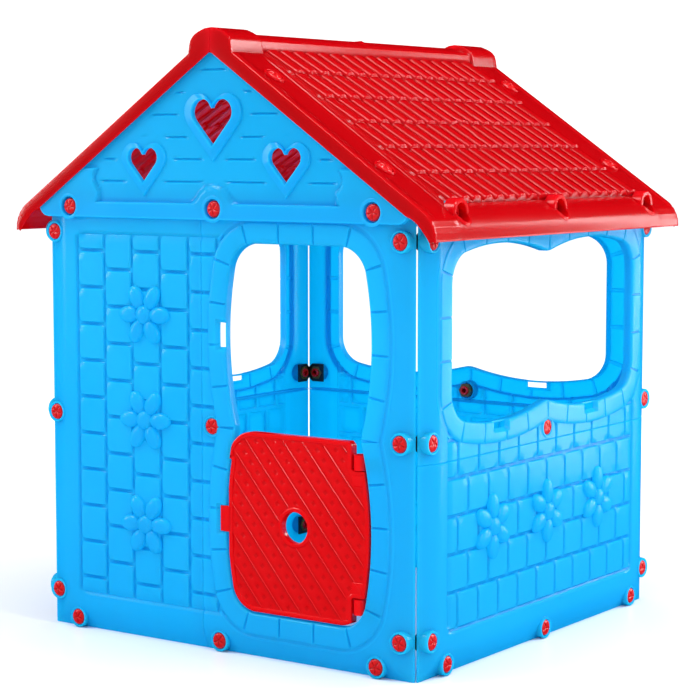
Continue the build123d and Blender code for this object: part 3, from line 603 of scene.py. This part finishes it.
# ---- Gables -------------------------------------------------------------------------
# Each end is one blue moulding laid over the top of the wall: clapboards in a sunk field, a flat
# rail with three counterbored bolts, and three hearts with raised frames to look through.
GABLE_FACE = 15.0
GABLE_LOW = 837.0
GABLE_HALF = 446.0
GABLE_APEX = 1177.6
PITCH = radians(34.3)
RAIL_TOP = 866.0
FIELD_END = 296.0
FIELD_END_TOP = 932.0
BOLT_LEVEL = 858.0
CLAPBOARDS = (909.0, 952.0, 994.0, 1037.0, 1079.0, 1121.0)
GABLE_SINK = 6.0
GABLE_CORNER = 26.0
GABLE_FLANGE = (425.0, 72.0)
# place of a heart, then lobe radius, spread and tip of the heart itself and of its frame
SMALL_HEART = (955.0, 18.7, 17.8, 48.6, 28.5, 27.0, 75.0)
HEARTS = ((0.0, 1041.0, 24.6, 23.4, 64.0, 35.5, 34.0, 94.0), (-172.0, *SMALL_HEART), (172.0, *SMALL_HEART))


def heart_line(centre, radius, spread, tip, samples=22):
    """Heart outline, anticlockwise from its tip: two round lobes and the tangents to the tip."""
    notch = pi - acos(min(1.0, spread / radius))
    flank = atan2(-tip, -spread) + acos(radius / hypot(spread, tip))
    lobe = [(spread + radius * cos(a), radius * sin(a)) for a in np.linspace(flank, notch, samples)]
    side = [(lobe[0][0] * k, -tip + (lobe[0][1] + tip) * k) for k in np.linspace(0, 1, samples // 2)[:-1]]
    right = side + lobe
    left = [(-x, y) for x, y in right[-2:0:-1]]
    return np.array(right + left) + np.array(centre)


def gable_relief(x, z, frames):
    """Height of a gable's face: sunk clapboard field between the rail, its end pieces and the arch."""
    arch = 41.0 - np.hypot(x, z - BOLT_LEVEL)
    rail = RAIL_TOP - z
    swing = FIELD_END - 7.0 * np.sin((z - RAIL_TOP) / (FIELD_END_TOP - RAIL_TOP) * 2 * pi)
    end = np.minimum(np.abs(x) - swing, FIELD_END_TOP - z)
    bend = 16.0
    blend = np.clip(0.5 + (arch - rail) / (2 * bend), 0, 1)
    proud = rail * (1 - blend) + arch * blend + bend * blend * (1 - blend)
    proud = np.maximum(proud, end)
    sunk = smooth(-proud / 4.0)
    height = GABLE_FACE - GABLE_SINK * sunk
    slope_end = (GABLE_APEX - z) / tan(PITCH) - np.abs(x)
    clear = np.minimum(-proud - 16, slope_end - 52)
    flat = np.stack([x.ravel(), z.ravel()], 1)
    for outline in frames:
        apart = np.hypot(*(nearest(flat, outline) - flat).T)
        inside_frame = within(flat, outline)
        clear = np.minimum(clear, np.where(inside_frame, -1, apart - 17).reshape(x.shape))
    below = np.zeros_like(x)
    for line in CLAPBOARDS:
        below = np.maximum(below, 1 - smooth((np.abs(z - line) - 0.8) / 2.2))
    return height - 3.0 * below * smooth(clear / 6)


def gable_shell():
    """Gable moulding: face, hem, roof flange, heart frames and counterbores."""
    frames = [heart_line((x, z), wide, apart, long) for x, z, _, _, _, wide, apart, long in HEARTS]
    inners = [heart_line((x, z), radius, spread, tip) for x, z, radius, spread, tip, *_ in HEARTS]
    shoulder = (GABLE_HALF, GABLE_APEX - tan(PITCH) * GABLE_HALF)
    turn = GABLE_CORNER
    bend = np.linspace(pi / 2, 0, 10)
    right = [(GABLE_HALF - turn + turn * cos(a), GABLE_LOW + turn - turn * sin(a)) for a in bend]
    right.append(shoulder)
    outline = np.array(right + [(0.0, GABLE_APEX)] + [(-x, y) for x, y in right[::-1]])
    inset = outline + np.array([(-1.5 * np.sign(x), 1.5 if y < GABLE_LOW + 1 else -0.5) for x, y in outline])
    holes = [(a + b) / 2 for a, b in zip(inners, frames)]
    spin = around(36)
    for x in STATIONS:
        holes.append(np.column_stack([x + 20.5 * np.cos(spin), BOLT_LEVEL + 20.5 * np.sin(spin)]))
    xs = ruled(-GABLE_HALF, GABLE_HALF, (-FIELD_END, FIELD_END, 0), (-6, -3, 3, 6), 5.5)
    levels = (*CLAPBOARDS, RAIL_TOP, FIELD_END_TOP)
    zs = ruled(GABLE_LOW, GABLE_APEX, levels, (-3.0, -1.9, -0.8, 0.8, 1.9, 3.0), 5.5)
    x, z, keep = trimmed(xs, zs, outer=inset, holes=holes)
    parts = [thicken(lattice(np.stack([x, z, gable_relief(x, z, frames)], -1), keep))]
    # the hem turns back to the wall along the bottom and both ends
    path = np.array(right[::-1] + [(-x, y) for x, y in right])
    past_x = np.maximum(0.0, np.abs(path[:, 0]) - GABLE_HALF + turn)
    ways = np.column_stack([np.sign(path[:, 0]) * past_x, np.minimum(0.0, path[:, 1] - GABLE_LOW - turn)])
    ways = ways / np.maximum(np.hypot(*ways.T), 1e-6)[:, None]
    hem = ((-2.4, 13.4), (-1.3, 14.8), (-0.4, 14.4), (0, 13.4), (0, 2.4))
    rows = [at_level(path + ways * out, level) for out, level in hem]
    parts.append(thicken(lattice(np.stack(rows)[:, ::-1]), 2.4))
    # the flange that carries the roof follows both slopes
    reach, depth = GABLE_FLANGE
    run = np.concatenate([np.linspace(-reach, 0, 12), np.linspace(0, reach, 12)[1:]])
    top = GABLE_APEX - tan(PITCH) * np.abs(run)
    flange = ((GABLE_FACE - depth, 0), (GABLE_FACE - 1.2, 0), (GABLE_FACE, 1.2))
    rows = [at_level(np.column_stack([run, top - drop]), level) for level, drop in flange]
    parts.append(thicken(lattice(np.stack(rows))))
    # frame of each heart: share of the way from the hole to the frame's outline, and height
    sunk = GABLE_FACE - GABLE_SINK
    moulding = [(0, -4), (0, 4.6), (0.03, 6.2), (0.09, 7), (0.2, 6.6), (0.45, 5.6), (0.75, 4.6)]
    moulding += [(0.93, 3.8), (0.985, 2.4), (1, -1)]
    for inner, outer in zip(inners, frames):
        rows = [at_level(inner * (1 - share) + outer * share, sunk + level) for share, level in moulding]
        parts.append(thicken(lattice(np.stack(rows), wrap=(False, True)), 2.2))
    cup = [(10.4, 5.3), (19, 5.3), (19, 13.8), (19.8, 15), (22.4, 15.7), (25, 15.4), (26, 14.6), (26, 12)]
    cup += [(22, 11), (21.5, 2.4), (10.4, 2.4)]
    parts += [lathe(cup, (x, BOLT_LEVEL, 0), 48) for x in STATIONS]
    return joined(parts)


gable = gable_shell()
for end, place in (("front", FACING_FRONT), ("back", FACING_BACK)):
    finished(f"gable_moulding_{end}", gable, place, blue_hdpe, "house", [f"gable_{end}"])


# ---- Roof halves --------------------------------------------------------------------
# Two red mouldings meet along the ridge. Each has a ridge cap with raised end blocks, six
# courses of barrel tiles, a rounded eave with bolt pockets, and a barge board at both ends.
RIDGE = 1188.0
EAVE_HALF = 505.0
EAVE_LOW = 808.0
EAVE_ROUND = 60.0
ROOF_HALF = 481.5
TILE_TOP = 58.0
TILE_COURSE = 83.2
TILE_COURSES = 6
TILE_PITCH = 41.4
TILES = 18
TILE_RISE = 9.5
SLOPE = tan(PITCH)
FASCIA = 33.5
BEND_X = EAVE_HALF - EAVE_ROUND
CAP = ((0.3, 1191.6), (14, 1190.2), (27.5, 1184.8), (36, 1180.4), (41.4, 1175.5), (43.4, 1167), (45, 1158.4))
BLOCK_X = (0, 14, 31.6, 40, 46.9, 50.2, 51.5, 60)
BLOCK_TOP = (1200, 1198.4, 1191.6, 1186.2, 1178.6, 1166, 1150, 1100)
SLOPE_BOLTS = (140.0, 442.0)
SLOPE_BOLT_Y = 431.5

# Red HDPE, a little thicker: deeper in shade, with glossy streaks, and hardly any light through.
# The bright red is also the painted highlight on sharp edges, and the dark red is the painted shade in
# hollows.
red_hdpe = moulded("Moulded red HDPE", "B20008", "BE020C", "F40C20", "6E0004", 0.4, 0.17, 0.2)


def slope_profile():
    """Top of the roof in section from ridge to eave: distance down the slope, x and z."""
    bend_z = RIDGE - SLOPE * BEND_X - EAVE_ROUND / cos(PITCH)
    rows = [(x / cos(PITCH), x, z) for x, z in CAP]
    marks = [TILE_TOP + k * TILE_COURSE for k in range(TILE_COURSES + 1)]
    for down in ruled(57.0, 578.0, marks, (-9, -4.5, -2.2, -1.0, 0.3, 1.6, 5, 12), 16.0):
        rows.append((down, down * cos(PITCH), RIDGE - SLOPE * down * cos(PITCH)))
    steepest = pi / 2 - PITCH
    for angle in np.linspace(steepest, 0, 15):
        down = 579.6 + (steepest - angle) * EAVE_ROUND
        rows.append((down, BEND_X + EAVE_ROUND * cos(angle), bend_z + EAVE_ROUND * sin(angle)))
    last = rows[-1][0]
    rows += [(last + 2.5, EAVE_HALF, EAVE_LOW + 1.2), (last + 3.7, EAVE_HALF - 0.6, EAVE_LOW)]
    # finer steps towards the eave, where the bolt pockets are cut out
    fine = sorted(rows)
    eave = [row for row in fine if 520 < row[0] < 600]
    for a, b in zip(eave[:-1], eave[1:]):
        count = ceil((b[0] - a[0]) / 5.0)
        for k in range(1, count):
            fine.append(tuple(p + (q - p) * k / count for p, q in zip(a, b)))
    return np.array(sorted(fine))


def tile_relief(down, y):
    """Barrel tiles in courses: each course lifts towards its lower end, then steps down."""
    along = (down - TILE_TOP) / TILE_COURSE
    course = np.floor(along + 1e-4)
    share = along - course
    across = np.abs((y / TILE_PITCH) % 1 - 0.5)
    barrel = np.sqrt(np.clip(1 - (across / 0.42) ** 2, 0, 1))
    lift = 0.35 + 0.65 * share
    nose = np.clip((1 - share) * TILE_COURSE / 4.0, 0, 1)
    height = (TILE_RISE * barrel * (0.62 + 0.38 * share) + 3.2 * lift) * (0.12 + 0.88 * np.sqrt(nose))
    field_edge = TILES * TILE_PITCH / 2 - np.abs(y)
    inside_field = (down > TILE_TOP + 0.1) & (down < TILE_TOP + TILE_COURSES * TILE_COURSE - 0.1)
    return np.where(inside_field, height * smooth(field_edge / 1.5), 0)


def roof_shell():
    """Right-hand roof moulding in section over its whole length, with barge boards and pockets."""
    section = slope_profile()
    down, top_x, top_z = section.T
    crests = [(k - TILES / 2) * TILE_PITCH + TILE_PITCH / 2 for k in range(TILES)]
    barrel_steps = (-17.4, -16, -12.5, -8.5, -4, 0, 4, 8.5, 12.5, 16, 17.4)
    ys = ruled(-474.0, 474.0, crests, barrel_steps, 14.0)
    pocket_lines = [c + k * 4.0 for c in STATIONS for k in range(-8, 9)]
    block_steps = (376, 380, 384, 388, 390.5, 393, 461, 463.5, 466)
    block_lines = [side * step for side in (-1, 1) for step in block_steps]
    ys = np.array(sorted({*np.round(ys, 2), *pocket_lines, *block_lines}))
    ys = ys[np.concatenate([[True], np.diff(ys) > 0.3])]
    grid_down, y = np.meshgrid(down, ys, indexing="ij")
    x = np.repeat(top_x[:, None], len(ys), 1)
    z = np.repeat(top_z[:, None], len(ys), 1)
    height = tile_relief(grid_down, y)
    channel = smooth((np.abs(y) - 388) / 5) * smooth((466 - np.abs(y)) / 5)
    height = height - 2.4 * channel * smooth((grid_down - 66) / 8) * smooth((596 - grid_down) / 8)
    apron = (grid_down > 590) & (np.abs(y) > 396)
    height = height - 0.9 * np.where(apron, (np.sin(grid_down * 2 * pi / 6.2) > 0.2) * 1.0, 0)
    x = x + height * sin(PITCH)
    z = z + height * cos(PITCH)
    blocks = smooth((np.abs(y) - 377.0) / 7.0)
    lifted = np.maximum(z, np.interp(x, BLOCK_X, BLOCK_TOP))
    z = np.where(top_x[:, None] < 52, z + (lifted - z) * blocks, z)
    bump = smooth(1 - np.abs(y) / 15) * smooth(1 - np.abs(x - 20) / 13)
    z = z + 5.0 * bump
    disc = smooth((24 - np.hypot(grid_down - 318, y)) / 3)
    z = z + 3.0 * disc * cos(PITCH)
    # both ends fold down as barge boards, which narrow towards the eave
    curl = np.clip((top_x - BEND_X) / EAVE_ROUND, 0, 1)
    under_x = np.where(top_x < BEND_X, top_x, BEND_X + (top_x - BEND_X) / EAVE_ROUND * 47.0)
    under_x = np.maximum.accumulate(under_x)
    under_bend = RIDGE - FASCIA - SLOPE * BEND_X
    straight = RIDGE - SLOPE * np.minimum(top_x, BEND_X) - FASCIA
    under_z = np.where(top_x < BEND_X, straight, under_bend - (under_bend - EAVE_LOW) * curl**1.6)
    under_z = np.maximum(under_z, EAVE_LOW)
    columns = [np.stack([x, y, z], -1)]
    face = ROOF_HALF
    barge = ((0, face - 2), (0.05, face - 0.3), (0.12, face), (0.5, face), (0.94, face), (1.0, face - 0.6))
    for sign, edge in ((-1, 0), (1, -1)):
        edge_x, edge_z = x[:, edge], z[:, edge]
        fold = []
        for share, out in barge:
            at_x = edge_x + (under_x - edge_x) * share
            at_z = edge_z + (under_z - edge_z) * share - (0.5 if share == 0 else 0)
            fold.append(np.stack([at_x, np.full(len(at_x), sign * out), at_z], -1))
        fold = np.stack(fold if sign > 0 else fold[::-1], 1)
        columns = columns + [fold] if sign > 0 else [fold] + columns
    points = np.concatenate(columns, 1)
    spots = (points[:-1, :-1] + points[1:, 1:]) / 2
    keep = np.ones(spots.shape[:2], bool)
    for spot in STATIONS:
        near = np.hypot(spots[..., 1] - spot, spots[..., 2] - BOLT_LEVEL) < 21.5
        keep &= ~(near & (spots[..., 0] > 430))
    skin, skin_faces = thicken(lattice(points, keep))
    skin[:, 1] = np.clip(skin[:, 1], -ROOF_HALF, ROOF_HALF)
    parts = [(skin, skin_faces)]
    # the joint flange hangs under the ridge; bolt pockets and slope bosses are turned rings
    seam_y = np.linspace(-ROOF_HALF + 4, ROOF_HALF - 4, 30)
    seam_line = np.column_stack([0 * seam_y + 0.3, seam_y])
    flange = [at_level(seam_line, level) for level in (1152.0, 1189.0)]
    parts.append(thicken(lattice(np.stack(flange)[:, ::-1][::-1])))
    turn = around(44)
    surface = np.interp(-BOLT_LEVEL - 26 * np.sin(turn), -top_z[len(CAP) :], top_x[len(CAP) :])
    mouth = np.maximum(488.0, surface + 0.6)
    pocket = [(10.4, 470.3), (17, 470.3), (17, mouth - 1.6), (18.4, mouth), (24, mouth), (26, mouth - 2.4)]
    pocket += [(26, mouth - 24), (20, mouth - 24), (20, 464.4), (10.4, 464.4)]
    for spot in STATIONS:
        rings = []
        for radius, at in pocket:
            level = BOLT_LEVEL + radius * np.sin(turn)
            rings.append(np.stack([at + 0 * turn, spot + radius * np.cos(turn), level], -1))
        parts.append(lattice(np.stack(rings), wrap=(True, True)))
    ring = [(10.4, -5), (17, -5), (17, 0.9), (17.8, 1.9), (20, 1.9), (21.5, 0.4), (22, -2)]
    ring += [(21, -8), (10.4, -8)]
    out = np.array([sin(PITCH), 0, cos(PITCH)])
    along = np.array([cos(PITCH), 0, -sin(PITCH)])
    for end in (-1, 1):
        for station in SLOPE_BOLTS:
            verts, faces = lathe(ring, (0, 0, 0))
            centre = np.array([0, 0, RIDGE]) + along * station + np.array([0, end * SLOPE_BOLT_Y, 0])
            parts.append((centre + verts @ np.array([along, [0, 1, 0], out]), faces))
    return joined(parts)


roof = roof_shell()
for side, place in (("right", AS_DRAWN), ("left", HALF_TURN)):
    finished(f"roof_moulding_{side}", roof, place, red_hdpe, "house", [f"roof_{side}"], 32)


# ---- Half door ----------------------------------------------------------------------
# A red leaf that fills the lower lobe of the doorway. Diagonal planks with rows of small square
# dimples lie inside a plain raised border; it has a hand hole, a latch tab and two stub pins.
DOOR_TOP = 436.0
DOOR_GAP = 4.0
DOOR_DEPTH = 18.0
DOOR_LEFT = 24.0
DOOR_CORNER = 55.0
HINGE_X = 326.0
HINGE_DEPTH = 10.0
HINGE_Z = ((353.6, 382.6), (144.4, 174.4))
STUB_Z = ((381.0, 403.6), (123.4, 146.0))
STUB_RADIUS = 5.0
HOLE = (180.0, 262.0)
PLANK = 35.5
PLANK_TURN = radians(-50)
DIMPLE_STEP = 24.0


def door_line():
    """Outline of the leaf, anticlockwise, seen from the front: x and z."""
    spots = OPEN_SPOTS - OPEN_WAYS * DOOR_GAP
    line = [(y - HALF, HALF - x) for x, y in spots]
    notch = HINGE_X - 15.0
    lower, upper = HINGE_Z[1][0], HINGE_Z[0][1]
    below = DOOR_TOP - DOOR_CORNER
    # the hinge side runs between the notches for the knuckles; the rest goes round the bottom
    swing = sorted([p for p in line if p[0] >= notch and lower < p[1] < upper], key=lambda p: p[1])
    bottom = [p for p in line if DOOR_LEFT < p[0] < notch - 0.5 and p[1] < below]
    bottom.sort(key=lambda p: atan2(p[1] - 250, p[0] - 200) % (2 * pi))
    bend = np.linspace(pi / 2, 0, 12)
    corner = [(DOOR_LEFT + DOOR_CORNER * (1 - cos(a)), DOOR_TOP - DOOR_CORNER * (1 - sin(a))) for a in bend]
    points = [(notch - 7, DOOR_TOP), *corner, *bottom]
    points += [(notch, bottom[-1][1] + 3), (notch, lower - 3), (notch + 3, lower)]
    points += [(swing[0][0] - 5, lower), *swing, (swing[-1][0] - 5, upper)]
    points += [(notch + 3, upper), (notch, upper + 3), (notch, DOOR_TOP - 7)]
    return np.array(points)


def inward(line):
    """Directions into an anticlockwise outline at each of its points."""
    step = np.roll(line, -1, 0) - np.roll(line, 1, 0)
    step = step / np.maximum(np.hypot(*step.T), 1e-6)[:, None]
    return np.column_stack([-step[:, 1], step[:, 0]])


def spaced(line, gap=4.0):
    """Closed outline with its points an even small distance apart."""
    closed = np.vstack([line, line[:1]])
    travelled = np.concatenate([[0], np.cumsum(np.hypot(*np.diff(closed, axis=0).T))])
    at = np.linspace(0, travelled[-1], int(travelled[-1] / gap) + 1)[:-1]
    return np.column_stack([np.interp(at, travelled, closed[:, k]) for k in (0, 1)])


def door_shell():
    """Leaf in its own frame: x across, z up, outward."""
    edge = spaced(door_line())
    way = inward(edge)
    # border, from the back of its side up over the front: distance in from the edge, and height
    border = [(0, -DOOR_DEPTH - 1), (0, -8), (0, -3.2), (0.6, -1.7), (2.2, -1.0), (7.5, -1.0)]
    border += [(8.6, -1.6), (9.4, -3.6)]
    rows = [at_level(edge + way * inset, level) for inset, level in border]
    parts = [thicken(lattice(np.stack(rows)[::-1], wrap=(False, True)), 2.6)]
    spin = np.array([[cos(PLANK_TURN), sin(PLANK_TURN)], [-sin(PLANK_TURN), cos(PLANK_TURN)]])
    field = (edge + way * 8.8) @ spin.T
    hole_at = spin @ np.array(HOLE)
    turn = around(48)
    rim = np.column_stack([hole_at[0] + 37 * np.cos(turn), hole_at[1] + 37 * np.sin(turn)])
    low, high = field.min(0) - 4, field.max(0) + 4
    planks = [k * PLANK for k in range(int(low[1] // PLANK), int(high[1] // PLANK) + 2)]
    squares = [k * DIMPLE_STEP for k in range(int(low[0] // DIMPLE_STEP), int(high[0] // DIMPLE_STEP) + 2)]
    along_lines = ruled(low[0], high[0], squares, (-4.6, -3.4, 3.4, 4.6), 12.0)
    plank_steps = (-1.6, -0.7, 0.7, 1.6, 12.6, 13.8, 20.6, 21.8)
    across_lines = ruled(low[1], high[1], planks, plank_steps, 9.0)
    p, q, keep = trimmed(along_lines, across_lines, outer=field, holes=[rim])
    share = (q / PLANK) % 1
    line = np.minimum(share, 1 - share) * PLANK
    level = -2.6 - 1.3 * share + 1.5 * (1 - smooth((line - 0.5) / 1.2))
    from_dimple = np.abs((p + DIMPLE_STEP / 2) % DIMPLE_STEP - DIMPLE_STEP / 2)
    square = np.maximum(from_dimple, np.abs(share * PLANK - 17.2))
    level = level - 0.7 * (1 - smooth((square - 3.6) / 1.0))
    back = np.stack([p, q], -1) @ spin
    parts.append(thicken(lattice(np.concatenate([back, level[..., None]], -1), keep), 2.4))
    hole_ring = [(30, -16), (30, -3), (30.7, -1.6), (32, -1.0), (36, -1.0), (37.5, -1.6), (39, -3.4)]
    hole_ring += [(39, -5.6), (33, -5.6), (33, -16)]
    parts.append(lathe(hole_ring, (*HOLE, 0), 56))
    # blocks that carry the stub pins, and the latch tab that lies over the ledge of its slot
    for low_z, high_z in HINGE_Z:
        parts.append(bevelled((HINGE_X - 15, low_z, -16.0), (HINGE_X + 11, high_z, -1.6), 2.0))
    parts.append(bevelled((4.0, 238.5, -5.0), (DOOR_LEFT + 4, 288.5, -1.0), 1.0))
    return joined(parts)


def bevelled(low, high, bevel):
    """Block between two corners with its edges taken off."""
    work = bmesh.new()
    bmesh.ops.create_cube(work, size=1.0)
    for vert in work.verts:
        for k in range(3):
            vert.co[k] = low[k] if vert.co[k] < 0 else high[k]
    bmesh.ops.bevel(work, geom=work.edges[:], offset=bevel, segments=3, profile=0.5, affect="EDGES")
    mesh = bpy.data.meshes.new("block")
    work.to_mesh(mesh)
    work.free()
    verts, faces = read_back(mesh)
    return verts / 1000, faces


# Red HDPE of the leaf, seen flat against the sky blue: the brightest red, with a sharp shine.
# The bright red is also the painted highlight on sharp edges, and the dark red is the painted shade in
# hollows.
door_plastic = moulded("Moulded red HDPE leaf", "CC0006", "D4010A", "F40C16", "A00004", 0.15, 0.16, 0.2)
finished("half_door_leaf", door_shell(), FACING_FRONT, door_plastic, "door", ["half_door"], 35)
pins = []
for low_z, high_z in STUB_Z:
    radius = STUB_RADIUS
    pin = [(0, high_z), (radius - 0.8, high_z), (radius, high_z - 0.8), (radius, low_z), (0, low_z)]
    pins.append(lathe(pin, (HINGE_X, HINGE_DEPTH - WALL_PLANE, 0), 28))
finished("door_stub_pins", joined(pins), AS_DRAWN, door_plastic, "door", [])


# ---- Bolts --------------------------------------------------------------------------
# Every joint has the same hollow moulded bolt: a round red button with a star recess, pressed
# into its boss. One bolt is made, and copies are seated at each station, facing out.
def bolt_shell():
    """Bolt along z: head from its seat at 0, star recess in a low dome, hollow shank below."""
    turn = around(40)
    rings = [(radius, height + 0 * turn) for radius, height in ((5.5, -25), (5.5, -3), (0.0, -3))]
    head = [(0.0, 8.1), (2.5, 8.1), (5.0, 8.0), (7.5, 7.8), (9.6, 7.5), (11.2, 7.2), (12.8, 6.7)]
    head += [(14.4, 5.8), (15.6, 4.2), (16, 2.6), (16, 0)]
    for radius, height in head:
        arm = np.abs(radius * np.sin((turn + 0.3) * 2.5 % pi)) / 2.5
        depth = 1.7 * (1 - smooth((arm - 0.8) / 0.9)) * (1.0 if radius < 11.3 else 0.0)
        rings.append((radius, height - depth))
    rings += [(10, 0 * turn), (10, -23.8 + 0 * turn), (9.2, -25 + 0 * turn)]
    points = np.stack([np.stack([r * np.cos(turn), r * np.sin(turn), h], -1) for r, h in rings])
    verts, faces = lattice(points[3:], wrap=(False, True))
    bore = lattice(np.concatenate([points[-1:], points[:3]]), wrap=(False, True))
    return joined([(verts, faces), bore])


def seating_tree():
    """Copies of one piece seated at points, each turned by the point's own angles."""
    tree = bpy.data.node_groups.new("Seated copies", "GeometryNodeTree")
    sockets = (("Stations", "Geometry"), ("Piece", "Object"), ("Size", "Float"), ("Finish", "Material"))
    for name, kind in sockets:
        tree.interface.new_socket(name, in_out="INPUT", socket_type=f"NodeSocket{kind}")
    tree.interface.new_socket("Seated", in_out="OUTPUT", socket_type="NodeSocketGeometry")
    given = add_node(tree, "NodeGroupInput")
    piece = add_node(tree, "GeometryNodeObjectInfo", {0: given.outputs["Piece"]}, transform_space="ORIGINAL")
    angles = add_node(tree, "GeometryNodeInputNamedAttribute", {"Name": "turn"}, data_type="FLOAT_VECTOR")
    facing = add_node(tree, "FunctionNodeEulerToRotation", {0: angles.outputs[0]})
    copying = {
        "Points": given.outputs["Stations"],
        "Instance": piece.outputs["Geometry"],
        "Rotation": facing.outputs[0],
        "Scale": given.outputs["Size"],
    }
    copies = add_node(tree, "GeometryNodeInstanceOnPoints", copying)
    solid = add_node(tree, "GeometryNodeRealizeInstances", {0: copies.outputs[0]})
    painting = {"Geometry": solid.outputs[0], "Material": given.outputs["Finish"]}
    painted = add_node(tree, "GeometryNodeSetMaterial", painting)
    add_node(tree, "NodeGroupOutput", {0: painted.outputs[0]})
    return tree


SEATING = seating_tree()


def seated(name, shell, stations, finish, body, nodes):
    """One piece copied to its stations: each is a point and the angles that turn +z outward."""
    pattern = bpy.data.objects.new(name + "_pattern", shaded(cleaned(*shell), 40))
    spots = bpy.data.meshes.new(name + "_stations")
    spots.from_pydata([tuple(c / 1000 for c in spot) for spot, _ in stations], [], [])
    turns = spots.attributes.new("turn", "FLOAT_VECTOR", "POINT")
    turns.data.foreach_set("vector", [angle for _, way in stations for angle in way])
    holder = bpy.data.objects.new(name + "_holder", spots)
    scene.collection.objects.link(holder)
    scene.collection.objects.link(pattern)
    seat = holder.modifiers.new("seating", "NODES")
    seat.node_group = SEATING
    values = {"Piece": pattern, "Size": 1.0, "Finish": finish}
    for item in SEATING.interface.items_tree:
        if item.in_out == "INPUT" and item.name in values:
            seat[item.identifier] = values[item.name]
    done = evaluated(holder)
    done.name = name
    for used in (holder, pattern):
        bpy.data.objects.remove(used)
    entered(name, done, body, nodes)


SEAT = -4.9
COVER_SEAT = 5.3
LEFT_OF_SEAM = -15.0
stations = []
for side in range(4):
    out = radians(90 * side)
    way = (pi / 2, 0.0, out)
    outward = np.array([sin(out), -cos(out), 0.0])
    across = np.array([cos(out), sin(out), 0.0])
    spots = [(x, level, SEAT) for x in (-END, END) for level in (HALF - STATION, HALF, HALF + STATION)]
    spots += [(x, RAIL_BOLT, SEAT) for x in STATIONS]
    spots += [(x, BOLT_LEVEL, COVER_SEAT) for x in STATIONS]
    spots.append((LEFT_OF_SEAM, HALF, SEAT) if side == 0 else (0.0, SEAM_BOLT, SEAT))
    for x, level, seat in spots:
        stations.append((tuple(across * x + outward * (WALL_PLANE + seat) + np.array([0, 0, level])), way))
for sign in (-1, 1):
    for end in (-1, 1):
        for down in SLOPE_BOLTS:
            spot = np.array([sign * down * cos(PITCH), end * SLOPE_BOLT_Y, RIDGE - down * sin(PITCH)])
            spot = spot + SEAT * np.array([sign * sin(PITCH), 0, cos(PITCH)])
            stations.append((tuple(spot), (0.0, sign * PITCH, 0.0)))
# Red nylon of the bolts: a solid, slightly duller red than the roof, so that each button stands out.
# The pale red is the painted highlight on sharp edges, and the dark red is the painted shade in the star
# recess and other hollows.
bolt_plastic = moulded("Moulded red nylon", "B8030A", "C4060E", "E8282C", "600004", 0.0, 0.24, 0.15)
bolt_nodes = [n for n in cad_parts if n.endswith("_bolts")]
seated("moulded_bolts", bolt_shell(), stations, bolt_plastic, "house", bolt_nodes)


# ---- Nuts, corner pieces and hinge brackets -------------------------------------------
# Plain shapes kept as they are: olive-brown nylon nuts, black glass-filled corner pieces, red
# knuckle brackets for the door, and zinc-plated screws along the ridge and in the brackets.
# Olive nylon: dark and dull, it reads as a shadowed hexagon behind the glowing blue skin.
# The light olive is the painted highlight on sharp edges, and the near-black is the painted shade in creases.
nut_plastic = moulded("Olive nylon", "3B3210", "4A4016", "7A6A2C", "1A1606", 0.0, 0.42, 0.4)
# Black nylon: satin, with a coarse grain, a grey painted highlight on its edges and painted shade in its
# creases.
corner_plastic = moulded("Black glass-filled nylon", "0B0B0D", "141416", "2A2A2E", "040405", 0.0, 0.45, 0.5)
# Zinc plating: cool pale metal, spangled in patches a few millimetres across.
zinc = bpy.data.materials.new("Zinc-plated steel")
zinc.use_nodes = True
tree = zinc.node_tree
surface = tree.nodes["Principled BSDF"].inputs
surface["Metallic"].default_value = 1.0
surface["Roughness"].default_value = 0.35
where = add_node(tree, "ShaderNodeTexCoord").outputs["Object"]
spangle = add_node(tree, "ShaderNodeTexNoise", {"Vector": where, "Scale": 300.0})
tree.links.new(mixed(tree, spangle.outputs["Fac"], linear("9EA0A4"), linear("C9CBCE")), surface["Base Color"])
for node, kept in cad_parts.items():
    finish = None
    if node in ("ridge_nuts", "ridge_screws", "hinge_screws"):
        finish = zinc
    elif node.endswith("_nuts"):
        finish = nut_plastic
    elif node.startswith("connector"):
        finish = corner_plastic
    elif node.startswith("hinge_bracket"):
        finish = door_plastic
    if finish:
        kept.data.materials.clear()
        kept.data.materials.append(finish)
